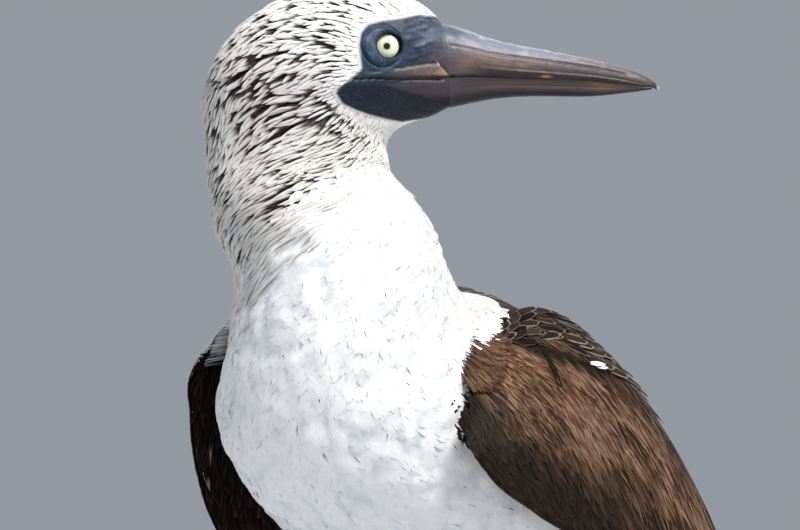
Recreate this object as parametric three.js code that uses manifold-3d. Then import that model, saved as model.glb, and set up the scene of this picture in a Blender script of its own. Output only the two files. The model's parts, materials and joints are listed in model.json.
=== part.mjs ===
// Blue-footed booby, standing, head turned over its left shoulder.
// Millimetres, +Z up, floor at z = 0. The bird faces -Y and its left side is +X.
// Trunk, neck and head are cut from one loft; wings and thighs lie against it.
import * as THREE from 'three';
import { mergeVertices } from 'three/addons/utils/BufferGeometryUtils.js';
import Module from 'manifold-3d';

const wasm = await Module();
wasm.setup();

// ---------------------------------------------------------------- named sizes
const GAP = 0.3;              // clear space between neighbouring nodes
const HUG = 0.4;              // how far a wing or thigh stands off the trunk
const HEAD_YAW = 39;          // the line of the bill: degrees from +X toward +Y
const HEAD_TURN = 90 + HEAD_YAW; // turn of the head from straight ahead, to the left
const HEAD_OUT = 30;          // how far the head's own plane lies toward the bird's right front
const EYE_R = 8.5;            // eyeball
const EYE_SIDE = 13.6;        // eyeball's centre from the head's middle plane
const EYE_ALONG = 3.5;        // and along the bill's line
const EYE_Z = 410.3;
const RING_R = 7.5;           // ring of bare skin round the eye
const RING_TUBE = 1.75;
const CULMEN = 104;           // feathering to bill tip
const TARSUS = 52;
const MIDDLE_TOE = 84;
const WEB = 2.6;              // thickness of the web
const TAIL_LEN = 172;         // tail beyond the trunk's end
const FLOOR = 18;             // level of the floor in the frame in which the body is drawn

const rad = (d) => d * Math.PI / 180;
const spow = (c, e) => Math.sign(c) * Math.abs(c) ** e;
const R = [Math.cos(rad(HEAD_YAW)), Math.sin(rad(HEAD_YAW)), 0];   // along the bill
const K = [Math.sin(rad(HEAD_YAW)), -Math.cos(rad(HEAD_YAW)), 0];  // out of the head's right side
const headPoint = (u, w, z) => [u * R[0] + w * K[0], u * R[1] + w * K[1], z];

// ---------------------------------------------------------------- main loft
// A station is x, y, z, turn, pitch, half width, dorsal depth, ventral depth, exponent.
// In the head: u and z of the crown end, u and z of the throat end, half width.
const headStation = (du, dz, vu, vz, a, w = HEAD_OUT, turn = HEAD_TURN) => {
  const c = headPoint((du + vu) / 2, w, (dz + vz) / 2);
  const len = Math.hypot(du - vu, dz - vz);
  return [...c, turn, Math.atan2(-(du - vu), dz - vz) * 180 / Math.PI, a, len / 2, len / 2, 2];
};
const MAIN = [
  headStation(28.3, 423.0, 31.8, 383.5, 13.5),
  headStation(21.1, 429.3, 25.1, 380.4, 16.5),
  headStation(12.1, 434.2, 17.5, 378.1, 19.5),
  headStation(0.9, 437.3, 11.7, 375.9, 22.0),
  headStation(-14.8, 438.7, 8.1, 373.7, 25.5),
  headStation(-35.0, 435.5, 5.8, 371.0, 28.5),
  headStation(-52.9, 427.9, 4.5, 368.3, 30.5, HEAD_OUT - 1),
  headStation(-68.2, 413.6, 4.0, 365.6, 32.0, HEAD_OUT - 2),
  headStation(-77.1, 396.5, 4.5, 362.9, 33.5, HEAD_OUT - 3, HEAD_TURN - 8),
  headStation(-79.4, 380.4, 5.4, 359.8, 35.0, HEAD_OUT - 4, HEAD_TURN - 18),
  // neck
  [-11, -44, 360, HEAD_TURN - 30, 83, 37.5, 43, 43.5, 2],
  [-3.5, -43, 345, HEAD_TURN - 48, 87, 45, 48, 48.5, 2],
  [2, -40, 329, 60, 90, 49.5, 51, 52, 2],
  [6.8, -34, 311, 36, 86, 49, 54, 57, 2],
  [7.2, -28.2, 291, 15, 75, 53, 58.5, 64, 2],
  // trunk
  [2.5, -18, 267, 4, 56, 65, 67.5, 70, 2.1],
  [2.5, 6, 246, 0, 42, 69.5, 73, 71, 2.25],
  [2, 42, 226, 0, 34, 71, 72, 69, 2.35],
  [1, 80, 204, 0, 31, 68, 66, 63, 2.25],
  [0, 116, 183, 0, 29.5, 58, 53, 54, 2.1],
  [0, 149, 163, 0, 28, 45, 40, 42, 2],
  [0, 178, 147, 0, 27, 34, 28, 30, 2],
  [0, 203, 134, 0, 26, 25, 18, 19, 2],
  [0, 222, 125, 0, 25, 17, 11, 11, 2],
];
const NECK_FROM = 8.6;        // station numbers at which the loft is parted
const TRUNK_FROM = 13.55;

// a knot is the chord plus the depth swept by the turn of the section
const KNOTS = MAIN.reduce((k, s, i) => {
  if (!i) return [0];
  const q = MAIN[i - 1];
  const chord = Math.hypot(s[0] - q[0], s[1] - q[1], s[2] - q[2]);
  return [...k, k[i - 1] + chord + rad(Math.abs(s[4] - q[4])) * 0.3 * (s[6] + q[6])];
}, [0]);

// cubic through the rows of a table, slopes from three neighbours
function along(knots, rows, t) {
  const n = knots.length;
  let i = 0;
  while (i < n - 2 && t >= knots[i + 1]) i++;
  const h = knots[i + 1] - knots[i], x = (t - knots[i]) / h;
  const slope = (j, k) => {
    const s = (m) => (rows[m + 1][k] - rows[m][k]) / (knots[m + 1] - knots[m]);
    if (j === 0) return s(0);
    if (j === n - 1) return s(n - 2);
    const h0 = knots[j] - knots[j - 1], h1 = knots[j + 1] - knots[j];
    return (s(j - 1) * h1 + s(j) * h0) / (h0 + h1);
  };
  return rows[i].map((_, k) =>
    (2 * x ** 3 - 3 * x ** 2 + 1) * rows[i][k] + (x ** 3 - 2 * x ** 2 + x) * h * slope(i, k)
    + (-2 * x ** 3 + 3 * x ** 2) * rows[i + 1][k] + (x ** 3 - x ** 2) * h * slope(i + 1, k));
}
const knotAt = (station) => {
  const i = Math.min(Math.floor(station), KNOTS.length - 2);
  return KNOTS[i] + (station - i) * (KNOTS[i + 1] - KNOTS[i]);
};
function section(v, phi, grow = 0) {
  const tau = rad(v[3]), p = rad(v[4]);
  const hx = Math.sin(tau), hy = -Math.cos(tau);
  const D = [-hx * Math.sin(p), -hy * Math.sin(p), Math.cos(p)];
  const c = spow(Math.cos(phi), 2 / v[8]) * ((Math.cos(phi) >= 0 ? v[6] : v[7]) + grow);
  const s = spow(Math.sin(phi), 2 / v[8]) * (v[5] + grow);
  return [v[0] + D[0] * c - hy * s, v[1] + D[1] * c + hx * s, v[2] + D[2] * c];
}

// ---------------------------------------------------------------- solids
// closed solid from rings of equal count, flat caps at both ends
function loftRings(rings) {
  const n = rings[0].length, pos = rings.flat(2), idx = [];
  for (let i = 0; i < rings.length - 1; i++) {
    for (let j = 0; j < n; j++) {
      const k = (j + 1) % n, a = i * n + j, b = i * n + k, c = (i + 1) * n + k, d = (i + 1) * n + j;
      idx.push(a, b, c, a, c, d);
    }
  }
  for (const [ring, flip] of [[0, true], [rings.length - 1, false]]) {
    const o = ring * n;
    for (let j = 1, k = n - 1; j < k - 1;) {      // strip across the cap
      if (j === 1) idx.push(...(flip ? [o, o + k, o + 1] : [o, o + 1, o + k]));
      idx.push(...(flip ? [o + j, o + k, o + j + 1] : [o + j, o + j + 1, o + k]));
      if (j + 1 < k - 1) idx.push(...(flip ? [o + j + 1, o + k, o + k - 1] : [o + j + 1, o + k - 1, o + k]));
      j++; k--;
    }
  }
  const g = new THREE.BufferGeometry();
  g.setAttribute('position', new THREE.Float32BufferAttribute(pos, 3));
  g.setIndex(idx);
  return g;
}
function solid(geometry) {
  let g = geometry.clone();
  for (const name of Object.keys(g.attributes)) if (name !== 'position') g.deleteAttribute(name);
  g = mergeVertices(g, 1e-4);
  const tri = [];
  const ix = g.index.array;
  for (let i = 0; i < ix.length; i += 3) {
    if (ix[i] !== ix[i + 1] && ix[i + 1] !== ix[i + 2] && ix[i] !== ix[i + 2]) tri.push(ix[i], ix[i + 1], ix[i + 2]);
  }
  let m = new wasm.Manifold(new wasm.Mesh({ numProp: 3, vertProperties: new Float32Array(g.attributes.position.array), triVerts: new Uint32Array(tri) }));
  if (m.volume() < 0) {
    for (let i = 0; i < tri.length; i += 3) [tri[i], tri[i + 1]] = [tri[i + 1], tri[i]];
    m = new wasm.Manifold(new wasm.Mesh({ numProp: 3, vertProperties: new Float32Array(g.attributes.position.array), triVerts: new Uint32Array(tri) }));
  }
  return m;
}
const rings = (list) => solid(loftRings(list));
const united = (list) => list.reduce((a, b) => a.add(b));
// the largest single body of a cut solid
function biggest(m) {
  const parts = m.decompose();
  return parts.reduce((a, b) => (b.volume() > a.volume() ? b : a));
}
function at(geometry, position, axis = null, up = null) {
  const m = new THREE.Matrix4();
  if (axis) {
    const z = new THREE.Vector3(...axis).normalize();
    const x = new THREE.Vector3(...(up ?? [0, 0, 1])).cross(z).normalize();
    m.makeBasis(x, z.clone().cross(x), z);
  }
  m.setPosition(...position);
  return geometry.clone().applyMatrix4(m);
}

// part of the main loft between two knots; nt rings of np points
function body(t0, t1, nt, np, grow = 0, ease = (x) => x) {
  const list = [];
  for (let i = 0; i < nt; i++) {
    const v = along(KNOTS, MAIN, t0 + (t1 - t0) * ease(i / (nt - 1)));
    list.push(Array.from({ length: np }, (_, j) => section(v, 2 * Math.PI * j / np, grow)));
  }
  return rings(list);
}
const headEnd = KNOTS.at(-1) * 0, neckAt = knotAt(NECK_FROM), trunkAt = knotAt(TRUNK_FROM), tailAt = KNOTS.at(-1);

// ---------------------------------------------------------------- head, eyes and bill
const eyeAt = (side) => headPoint(EYE_ALONG, HEAD_OUT + side * EYE_SIDE, EYE_Z);
const faceTilt = 5.1;         // the front of the face leans by this much
// the sides of the head draw together forward, and the rings face forward with them
const RING_FORWARD = 13, RING_UP = 6;
const ringAxis = (side) => {
  const f = rad(RING_FORWARD), e = rad(RING_UP);
  return [R[0] * Math.sin(f) + side * K[0] * Math.cos(f), R[1] * Math.sin(f) + side * K[1] * Math.cos(f), Math.sin(e)];
};
function makeHead() {
  let head = body(headEnd, neckAt, 20, 30);
  for (const side of [1, -1]) {
    const ax = ringAxis(side), e = eyeAt(side);
    const c = [e[0] + ax[0] * 6.6 - R[0] * 1.2, e[1] + ax[1] * 6.6 - R[1] * 1.2, e[2] + ax[2] * 6.6];
    head = head.add(solid(at(new THREE.TorusGeometry(RING_R, RING_TUBE, 6, 18), c, ax)));
    head = head.subtract(solid(at(new THREE.SphereGeometry(EYE_R + GAP, 14, 10), e, ax)));
  }
  return biggest(head);
}
const makeEye = (side) => solid(at(new THREE.SphereGeometry(EYE_R, 14, 10), eyeAt(side), ringAxis(side)));

// bill rows: u, culmen z, cutting edge z, lower edge z, half width
const BILL = [
  [30.9, 421.6, 397.7, 383.9, 13.4],
  [38.6, 419.4, 398.1, 385.5, 12.9],
  [48.4, 415.4, 397.9, 387.3, 11.7],
  [58.7, 412.8, 397.4, 388.5, 10.2],
  [68.6, 410.8, 397.0, 388.9, 8.8],
  [78.5, 408.9, 396.5, 388.9, 7.6],
  [88.8, 406.8, 396.1, 388.8, 6.6],
  [98.7, 404.8, 395.4, 389.1, 5.6],
  [108.5, 402.1, 394.3, 390.2, 4.6],
  [116.6, 399.0, 393.2, 391.2, 3.5],
  [122.0, 396.0, 392.8, 392.0, 2.4],
  [125.4, 393.2, 391.4, 391.2, 0.9],
];
const lean = (z, k) => (z - 403) * Math.tan(rad(-faceTilt)) * Math.max(0, 1 - k / 3);
const FACE_CLEAR = 0.35;
// half rings over the culmen (upper) or under the chin (lower)
function makeBill(upper) {
  const np = upper ? 11 : 9, list = [];
  const rows = upper ? BILL : BILL.slice(0, -1);
  rows.forEach(([u, zc, zt, zl, w], i) => {
    const edge = upper ? zt + GAP / 2 : zt - GAP / 2;
    const far = upper ? zc : Math.min(zl, edge - 0.6);
    const ww = upper ? w : w * 0.93;
    const ring = [];
    for (let j = 0; j < np; j++) {
      const a = Math.PI * j / (np - 1);
      const y = ww * spow(Math.cos(a), upper ? 0.8 : 0.7), z = edge + (far - edge) * spow(Math.sin(a), upper ? 0.9 : 0.85);
      ring.push(headPoint(u + FACE_CLEAR + lean(z, i), HEAD_OUT + y, z));
    }
    // the closed side is drawn in a little, as the mandibles meet at their rims
    const inset = Math.sign(far - edge) * Math.min(1.2, Math.abs(far - edge) * 0.25);
    for (const y of [-0.45, 0.45]) ring.push(headPoint(u + FACE_CLEAR + lean(edge, i), HEAD_OUT + ww * y, edge + inset));
    list.push(ring);
  });
  return rings(list);
}

// ---------------------------------------------------------------- wings
// x, y, z of mid-chord, pitch of the section, half height, lean, arc of the section, thickness
const WING = [
  [69.5, -15, 266, 44, 30, 15, 20, 3.0],
  [75, -8, 264, 43, 42, 16, 30, 9.0],
  [80, 4, 260, 41, 52, 17, 42, 14],
  [82.5, 30, 252, 37, 58.5, 19, 52, 16.5],
  [83, 68, 237, 33, 60, 23, 58, 16.5],
  [79.5, 108, 216, 31, 57, 28, 54, 15],
  [70, 151, 190, 31, 47, 33, 42, 12],
  [54, 194, 163, 30, 36, 39, 28, 9.5],
  [38, 235, 139, 29, 25, 44, 14, 7],
  [26, 272, 118, 28, 16, 47, 6, 5.2],
  [18, 304, 100, 27, 9.5, 50, 3, 4.0],
  [13, 328, 86.5, 26, 4.8, 52, 1, 2.6],
  [11, 341, 79.5, 26, 2.0, 52, 1, 1.4],
];
// the right wing is carried further forward, its leading edge lower beside the breast
const WING_RIGHT = [
  [67, -25, 287.5, 46.6, 12.4, 12, 20, 3.0],
  [72, -19.5, 282, 51.7, 27.4, 13, 30, 10.0],
  [74.5, -6.2, 272, 49, 42.7, 15, 40, 14],
  [77.5, 14.5, 256, 46.7, 58.4, 18, 50, 15.5],
  [79.5, 43.5, 235.5, 45, 68.6, 22, 56, 16],
  [77, 86.5, 214.5, 43.1, 65.1, 27, 54, 15],
  [69, 132.5, 188, 40.1, 53.6, 32.5, 44, 12],
  [54, 186, 163, 30, 37, 39, 28, 9.5],
  [38, 227, 139, 29, 25, 44, 14, 7],
  [26, 264, 118, 28, 16, 47, 6, 5.2],
  [18, 296, 100, 27, 9.5, 50, 3, 4.0],
  [13, 320, 86.5, 26, 4.8, 52, 1, 2.6],
  [11, 333, 79.5, 26, 2.0, 52, 1, 1.4],
];
const wingKnots = (table) => table.reduce((k, s, i) => (i ? [...k, k[i - 1] + Math.hypot(s[0] - table[i - 1][0], s[1] - table[i - 1][1], s[2] - table[i - 1][2])] : [0]), [0]);
function wingPoint(v, q, off, side) {
  const p = rad(v[3]), l = rad(v[5]), c = rad(Math.max(v[6], 0.5)) / 2;
  const H = [0, Math.sin(p), Math.cos(p)];
  const e1 = [-Math.sin(l), H[1] * Math.cos(l), H[2] * Math.cos(l)];
  const e2 = [Math.cos(l), H[1] * Math.sin(l), H[2] * Math.sin(l)];
  const r = v[4] / c, s = Math.sin(q * c), k = Math.cos(q * c);
  return [0, 1, 2].map((i) => (v[i] + e1[i] * r * s + e2[i] * r * (k - 1) + (e2[i] * k + e1[i] * s) * off * v[7] / 2) * (i ? 1 : side));
}
function makeWing(side, ns, nq) {
  const list = [], table = side > 0 ? WING : WING_RIGHT, knots = wingKnots(table);
  for (let i = 0; i < ns; i++) {
    const x = i / (ns - 1);
    const v = along(knots, table, knots.at(-1) * (x < 0.2 ? x * (0.35 + 3.25 * x) : x));
    const ring = [];
    for (let j = 0; j < 2 * nq; j++) {
      const a = Math.PI * j / nq;
      ring.push(wingPoint(v, -Math.cos(a), spow(Math.sin(a), 0.8), side));
    }
    list.push(ring);
  }
  return rings(list);
}
// ---------------------------------------------------------------- tail
// distance back, half width, thickness: wedge-shaped, longest in the middle
const TAIL_FROM = [0, 222, 125], TAIL_DROP = 25;
const TAIL = [
  [GAP, 15, 17], [20, 21, 13], [55, 26, 9.5], [90, 27, 7.5], [120, 22, 6], [145, 14, 4.6], [162, 7, 3.4], [TAIL_LEN, 2.2, 2.0],
];
function tailPoint(s, x, y) {
  const a = rad(TAIL_DROP);
  return [x, TAIL_FROM[1] + s * Math.cos(a) + y * Math.sin(a), TAIL_FROM[2] - s * Math.sin(a) + y * Math.cos(a)];
}
function makeTail() {
  const n = 9, list = [];
  for (let i = 0; i < n; i++) {
    const v = along(TAIL.map((r) => r[0]), TAIL, GAP + (TAIL_LEN - GAP) * i / (n - 1));
    list.push(Array.from({ length: 16 }, (_, j) => {
      const a = 2 * Math.PI * j / 16, x = v[1] * Math.cos(a);
      return tailPoint(v[0], x, v[2] / 2 * spow(Math.sin(a), 0.7) - 5 * (x / 27) ** 2);
    }));
  }
  return rings(list);
}

// ---------------------------------------------------------------- legs and feet
// x, y, z, radius across, radius fore and aft; the leg runs down and back to the ankle
const ANKLE_Z = 61;
const THIGH = [
  [33, 46, 182, 22, 42],
  [35, 54, 158, 22, 38],
  [36.5, 64, 134, 19.5, 30],
  [38, 74, 112, 15, 20],
  [38.5, 81, 93, 10, 12],
  [38.5, 84, FLOOR + ANKLE_Z, 6.6, 7.4],
];
function makeThigh(side) {
  const n = 9, last = THIGH.length - 1, list = [];
  const k = THIGH.map((_, i) => i);
  for (let i = 0; i < n; i++) {
    const v = along(k, THIGH, last * i / (n - 1));
    list.push(Array.from({ length: 14 }, (_, j) => {
      const a = 2 * Math.PI * j / 14;
      return [side * (v[0] + v[3] * Math.cos(a)), v[1] + v[4] * Math.sin(a), v[2] + 0.12 * v[4] * Math.sin(a) * (i ? 1 : 0) * (i < n - 1 ? 1 : 0)];
    }));
  }
  return rings(list);
}
// tapered round limb through points with radii, slightly flattened
function limb(points, sides, flat = 1) {
  const list = points.map(([x, y, z, r], i) => {
    const a = points[Math.max(i - 1, 0)], b = points[Math.min(i + 1, points.length - 1)];
    const t = new THREE.Vector3(b[0] - a[0], b[1] - a[1], b[2] - a[2]).normalize();
    const ref = Math.abs(t.z) > 0.8 ? new THREE.Vector3(0, 1, 0) : new THREE.Vector3(0, 0, 1);
    const s = new THREE.Vector3().crossVectors(t, ref).normalize(), n = new THREE.Vector3().crossVectors(s, t);
    return Array.from({ length: sides }, (_, j) => {
      const q = 2 * Math.PI * (j + 0.5) / sides, c = Math.cos(q) * r, d = Math.sin(q) * r * flat;
      return [x + s.x * c + n.x * d, y + s.y * c + n.y * d, z + s.z * c + n.z * d];
    });
  });
  return rings(list);
}
const HEEL = [38.5, 71, 9];                 // where the toes spring
const ANKLE = [38.5, 84, ANKLE_Z - GAP];
// heading from straight ahead (outward positive), length, radius, number of joints: toes IV, III, II, I
const TOES = [
  [15, MIDDLE_TOE * 0.98, 4.0, 4], [-4, MIDDLE_TOE, 4.2, 3], [-27, MIDDLE_TOE * 0.74, 3.9, 2], [-78, MIDDLE_TOE * 0.36, 3.2, 1],
];
const CLAW = 8.5;
const toeDir = (deg) => [Math.sin(rad(deg)), -Math.cos(rad(deg))];
function makeFoot(side) {
  const m = (p) => [side * p[0], ...p.slice(1)];
  const parts = [];
  // tarsus
  parts.push(limb([[...ANKLE, 5.4], [38.5, 84, 57, 6.1], [38.5, 81, 50, 5.0], [38.5, 77.5, 34, 4.4], [38.5, 74, 19, 4.8], [38.5, 71.5, 9, 6.2], [38.5, 70, 3, 5.5]].map(m), 10));
  const tips = [];
  for (const [deg, len, r, joints] of TOES) {
    const d = toeDir(deg), pts = [], steps = joints * 2;
    for (let i = 0; i <= steps; i++) {
      const s = i / steps, along_ = s * len;
      const bump = 1 + 0.1 * Math.cos(2 * Math.PI * s * joints);
      const rr = r * (1 - 0.38 * s) * bump;
      const lift = (1 - s) ** 3 * 3.2;
      pts.push([HEEL[0] + d[0] * along_, HEEL[1] - 1 + d[1] * along_, rr * 0.8 + lift, rr]);
    }
    parts.push(limb(pts.map(m), 8, 0.9));
    const tip = [HEEL[0] + d[0] * len, HEEL[1] - 1 + d[1] * len];
    tips.push(tip);
    // claw, curved down to the floor
    const c = CLAW * (joints === 1 ? 0.75 : 1);
    parts.push(limb([0, 0.35, 0.7, 1].map((s) => m([tip[0] + d[0] * (s * c - 1.5), tip[1] + d[1] * (s * c - 1.5), 2.9 - 2.0 * s * s, 1.9 * (1 - 0.72 * s)])), 6));
  }
  // web: scooped between the tips
  const shape = new THREE.Shape();
  shape.moveTo(side * (HEEL[0] + 3.5), -(HEEL[1] + 3));
  shape.lineTo(side * tips[0][0], -tips[0][1]);
  for (let i = 0; i < 3; i++) {
    const a = tips[i], b = tips[i + 1];
    const mx = (a[0] + b[0]) / 2, my = (a[1] + b[1]) / 2;
    const pull = i < 2 ? 0.2 : 0.3;
    shape.quadraticCurveTo(side * (mx + (HEEL[0] - mx) * pull), -(my + (HEEL[1] - my) * pull), side * b[0], -b[1]);
  }
  shape.lineTo(side * (HEEL[0] - 3), -(HEEL[1] + 3));
  const web = new THREE.ExtrudeGeometry(shape, { depth: WEB, bevelEnabled: false, curveSegments: 6 });
  const flip = new THREE.Matrix4().makeScale(1, -1, 1);
  parts.push(solid(web.applyMatrix4(flip)));
  let foot = united(parts);
  const floor = new THREE.BoxGeometry(400, 400, 40).translate(side * HEEL[0], HEEL[1], -20);
  return biggest(foot.subtract(solid(floor))).translate([0, 0, FLOOR]);
}

// ---------------------------------------------------------------- assembly
const material = (name, color, roughness, metalness = 0) => Object.assign(new THREE.MeshStandardMaterial({ color, roughness, metalness }), { name });
const group = new THREE.Group();
group.name = 'blue_footed_booby';
const nodes = [];
const put = (name, m, mat) => nodes.push([name, m, mat]);
function place(name, m, mat, shift) {
  const mesh = m.getMesh();
  const g = new THREE.BufferGeometry();
  const src = mesh.vertProperties, np = mesh.numProp, pos = new Float32Array(src.length / np * 3);
  for (let i = 0; i < src.length / np; i++) for (let k = 0; k < 3; k++) pos[3 * i + k] = src[np * i + k] + shift[k];
  g.setAttribute('position', new THREE.BufferAttribute(pos, 3));
  g.setIndex(new THREE.BufferAttribute(new Uint32Array(mesh.triVerts), 1));
  g.computeVertexNormals();
  const out = new THREE.Mesh(g, mat);
  out.name = name;
  group.add(out);
}

const trunk = body(trunkAt + GAP * 0.6, tailAt, 19, 30);
const neck = body(neckAt + GAP * 1.0, trunkAt - GAP * 0.6, 10, 30);
const grown = body(knotAt(11), tailAt, 26, 30, HUG);

put('head', makeHead(), material('head_plumage', 0xd2d0cc, 0.9));
put('neck', neck, material('neck_plumage', 0xdad8d4, 0.9));
put('trunk', trunk, material('body_plumage', 0xeeeeec, 0.9));
put('tail', biggest(makeTail()), material('tail_feathers', 0x9a8c7e, 0.8));
for (const [name, side] of [['left', 1], ['right', -1]]) {
  const thigh = makeThigh(side);
  const wing = makeWing(side, 19, 9);
  put(`wing_${name}`, biggest(wing.subtract(grown)), material(`wing_feathers_${name}`, 0x5b4636, 0.75));
  put(`leg_${name}`, biggest(thigh.subtract(grown)), material(`leg_plumage_${name}`, 0xeeeeec, 0.9));
  put(`foot_${name}`, makeFoot(side), material(`foot_skin_${name}`, 0x3f93bd, 0.45));
  put(`eye_${name}`, makeEye(side > 0 ? -1 : 1), material(`eye_${name}`, 0xdfe3a8, 0.1));
}
put('bill_upper', makeBill(true), material('bill_upper_horn', 0x75717a, 0.4));
put('bill_lower', makeBill(false), material('bill_lower_horn', 0x4c4144, 0.4));

// the whole stands on z = 0 with the middle of its plan at the origin
const low = [0, 1, 2].map((k) => Math.min(...nodes.map(([, m]) => m.boundingBox().min[k])));
const high = [0, 1, 2].map((k) => Math.max(...nodes.map(([, m]) => m.boundingBox().max[k])));
const SHIFT = [-(low[0] + high[0]) / 2, -(low[1] + high[1]) / 2, -low[2]];
for (const [name, m, mat] of nodes) place(name, m, mat, SHIFT);

export default group;
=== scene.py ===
# Blue-footed booby: skin, feathers, eyes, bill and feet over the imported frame.
import bpy, bmesh, json, math
import numpy as np
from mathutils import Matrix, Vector, kdtree

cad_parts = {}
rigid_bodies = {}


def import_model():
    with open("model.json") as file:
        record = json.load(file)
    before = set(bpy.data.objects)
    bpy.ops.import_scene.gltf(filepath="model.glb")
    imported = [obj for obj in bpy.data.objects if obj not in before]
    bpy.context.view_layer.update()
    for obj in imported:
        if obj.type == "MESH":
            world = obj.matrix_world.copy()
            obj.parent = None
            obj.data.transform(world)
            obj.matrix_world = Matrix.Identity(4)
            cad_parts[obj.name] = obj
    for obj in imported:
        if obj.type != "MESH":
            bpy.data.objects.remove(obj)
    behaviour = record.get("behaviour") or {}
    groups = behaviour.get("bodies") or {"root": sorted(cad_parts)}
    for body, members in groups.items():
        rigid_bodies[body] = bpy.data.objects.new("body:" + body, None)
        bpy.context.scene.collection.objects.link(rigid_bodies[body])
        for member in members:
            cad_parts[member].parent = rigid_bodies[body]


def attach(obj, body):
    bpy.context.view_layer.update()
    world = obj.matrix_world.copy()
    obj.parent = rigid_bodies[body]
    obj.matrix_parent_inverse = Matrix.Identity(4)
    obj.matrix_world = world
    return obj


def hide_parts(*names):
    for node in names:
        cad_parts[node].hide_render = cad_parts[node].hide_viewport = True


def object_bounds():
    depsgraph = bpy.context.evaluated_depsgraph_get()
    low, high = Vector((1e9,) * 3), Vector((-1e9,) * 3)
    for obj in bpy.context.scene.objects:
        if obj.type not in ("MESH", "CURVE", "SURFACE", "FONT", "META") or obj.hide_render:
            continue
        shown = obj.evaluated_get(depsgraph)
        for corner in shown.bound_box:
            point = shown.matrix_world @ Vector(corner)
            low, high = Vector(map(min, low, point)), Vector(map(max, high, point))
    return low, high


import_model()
CAD_LO, CAD_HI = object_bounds()
pi = math.pi
rad = math.radians

# ------------------------------------------------------------------ the part's own sizes, in mm
HEAD_YAW = 39.0
HEAD_TURN = 90 + HEAD_YAW
HEAD_OUT = 30.0
EYE_R, EYE_SIDE, EYE_ALONG, EYE_Z = 8.5, 13.6, 3.5, 410.3
FLOOR = 18.0
R = np.array([math.cos(rad(HEAD_YAW)), math.sin(rad(HEAD_YAW)), 0.0])
K = np.array([math.sin(rad(HEAD_YAW)), -math.cos(rad(HEAD_YAW)), 0.0])
UP = np.array([0, 0, 1.0])
def head_point(u, w, z):
    u, w, z = np.broadcast_arrays(np.asarray(u, float), np.asarray(w, float), np.asarray(z, float))
    return u[..., None]*R + w[..., None]*K + z[..., None]*UP
BILL_TIP_X = 125.75*R[0] + 30.9*K[0]
TAIL_TIP_Y = 222 + 172*math.cos(rad(25)) + math.sin(rad(25))
SHIFT = np.array([CAD_HI.x*1000-BILL_TIP_X, CAD_HI.y*1000-TAIL_TIP_Y, CAD_LO.z*1000-FLOOR])
def world(P): return (np.asarray(P, float)+SHIFT)/1000.0

def head_station(du, dz, vu, vz, a, w=HEAD_OUT, turn=HEAD_TURN):
    c = head_point((du+vu)/2, w, (dz+vz)/2); L = math.hypot(du-vu, dz-vz)
    return [*c, turn, math.degrees(math.atan2(-(du-vu), dz-vz)), a, L/2, L/2, 2]
MAIN = np.array([
    head_station(28.3, 423.0, 31.8, 383.5, 13.5),
    head_station(21.1, 429.3, 25.1, 380.4, 16.5),
    head_station(12.1, 434.2, 17.5, 378.1, 19.5),
    head_station(0.9, 437.3, 11.7, 375.9, 22.0),
    head_station(-14.8, 438.7, 8.1, 373.7, 25.5),
    head_station(-35.0, 435.5, 5.8, 371.0, 28.5),
    head_station(-52.9, 427.9, 4.5, 368.3, 30.5, HEAD_OUT-1),
    head_station(-68.2, 413.6, 4.0, 365.6, 32.0, HEAD_OUT-2),
    head_station(-77.1, 396.5, 4.5, 362.9, 33.5, HEAD_OUT-3, HEAD_TURN-8),
    head_station(-79.4, 380.4, 5.4, 359.8, 35.0, HEAD_OUT-4, HEAD_TURN-18),
    [-11, -44, 360, HEAD_TURN-30, 83, 37.5, 43, 43.5, 2],
    [-3.5, -43, 345, HEAD_TURN-48, 87, 45, 48, 48.5, 2],
    [2, -40, 329, 60, 90, 49.5, 51, 52, 2],
    [6.8, -34, 311, 36, 86, 49, 54, 57, 2],
    [7.2, -28.2, 291, 15, 75, 53, 58.5, 64, 2],
    [2.5, -18, 267, 4, 56, 65, 67.5, 70, 2.1],
    [2.5, 6, 246, 0, 42, 69.5, 73, 71, 2.25],
    [2, 42, 226, 0, 34, 71, 72, 69, 2.35],
    [1, 80, 204, 0, 31, 68, 66, 63, 2.25],
    [0, 116, 183, 0, 29.5, 58, 53, 54, 2.1],
    [0, 149, 163, 0, 28, 45, 40, 42, 2],
    [0, 178, 147, 0, 27, 34, 28, 30, 2],
    [0, 203, 134, 0, 26, 25, 18, 19, 2],
    [0, 222, 125, 0, 25, 17, 11, 11, 2],
], float)
WING = np.array([
    [69.5, -15, 266, 44, 30, 15, 20, 3.0],
    [75, -8, 264, 43, 42, 16, 30, 9.0],
    [80, 4, 260, 41, 52, 17, 42, 14],
    [82.5, 30, 252, 37, 58.5, 19, 52, 16.5],
    [83, 68, 237, 33, 60, 23, 58, 16.5],
    [79.5, 108, 216, 31, 57, 28, 54, 15],
    [70, 151, 190, 31, 47, 33, 42, 12],
    [54, 194, 163, 30, 36, 39, 28, 9.5],
    [38, 235, 139, 29, 25, 44, 14, 7],
    [26, 272, 118, 28, 16, 47, 6, 5.2],
    [18, 304, 100, 27, 9.5, 50, 3, 4.0],
    [13, 328, 86.5, 26, 4.8, 52, 1, 2.6],
    [11, 341, 79.5, 26, 2.0, 52, 1, 1.4],
], float)
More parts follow.
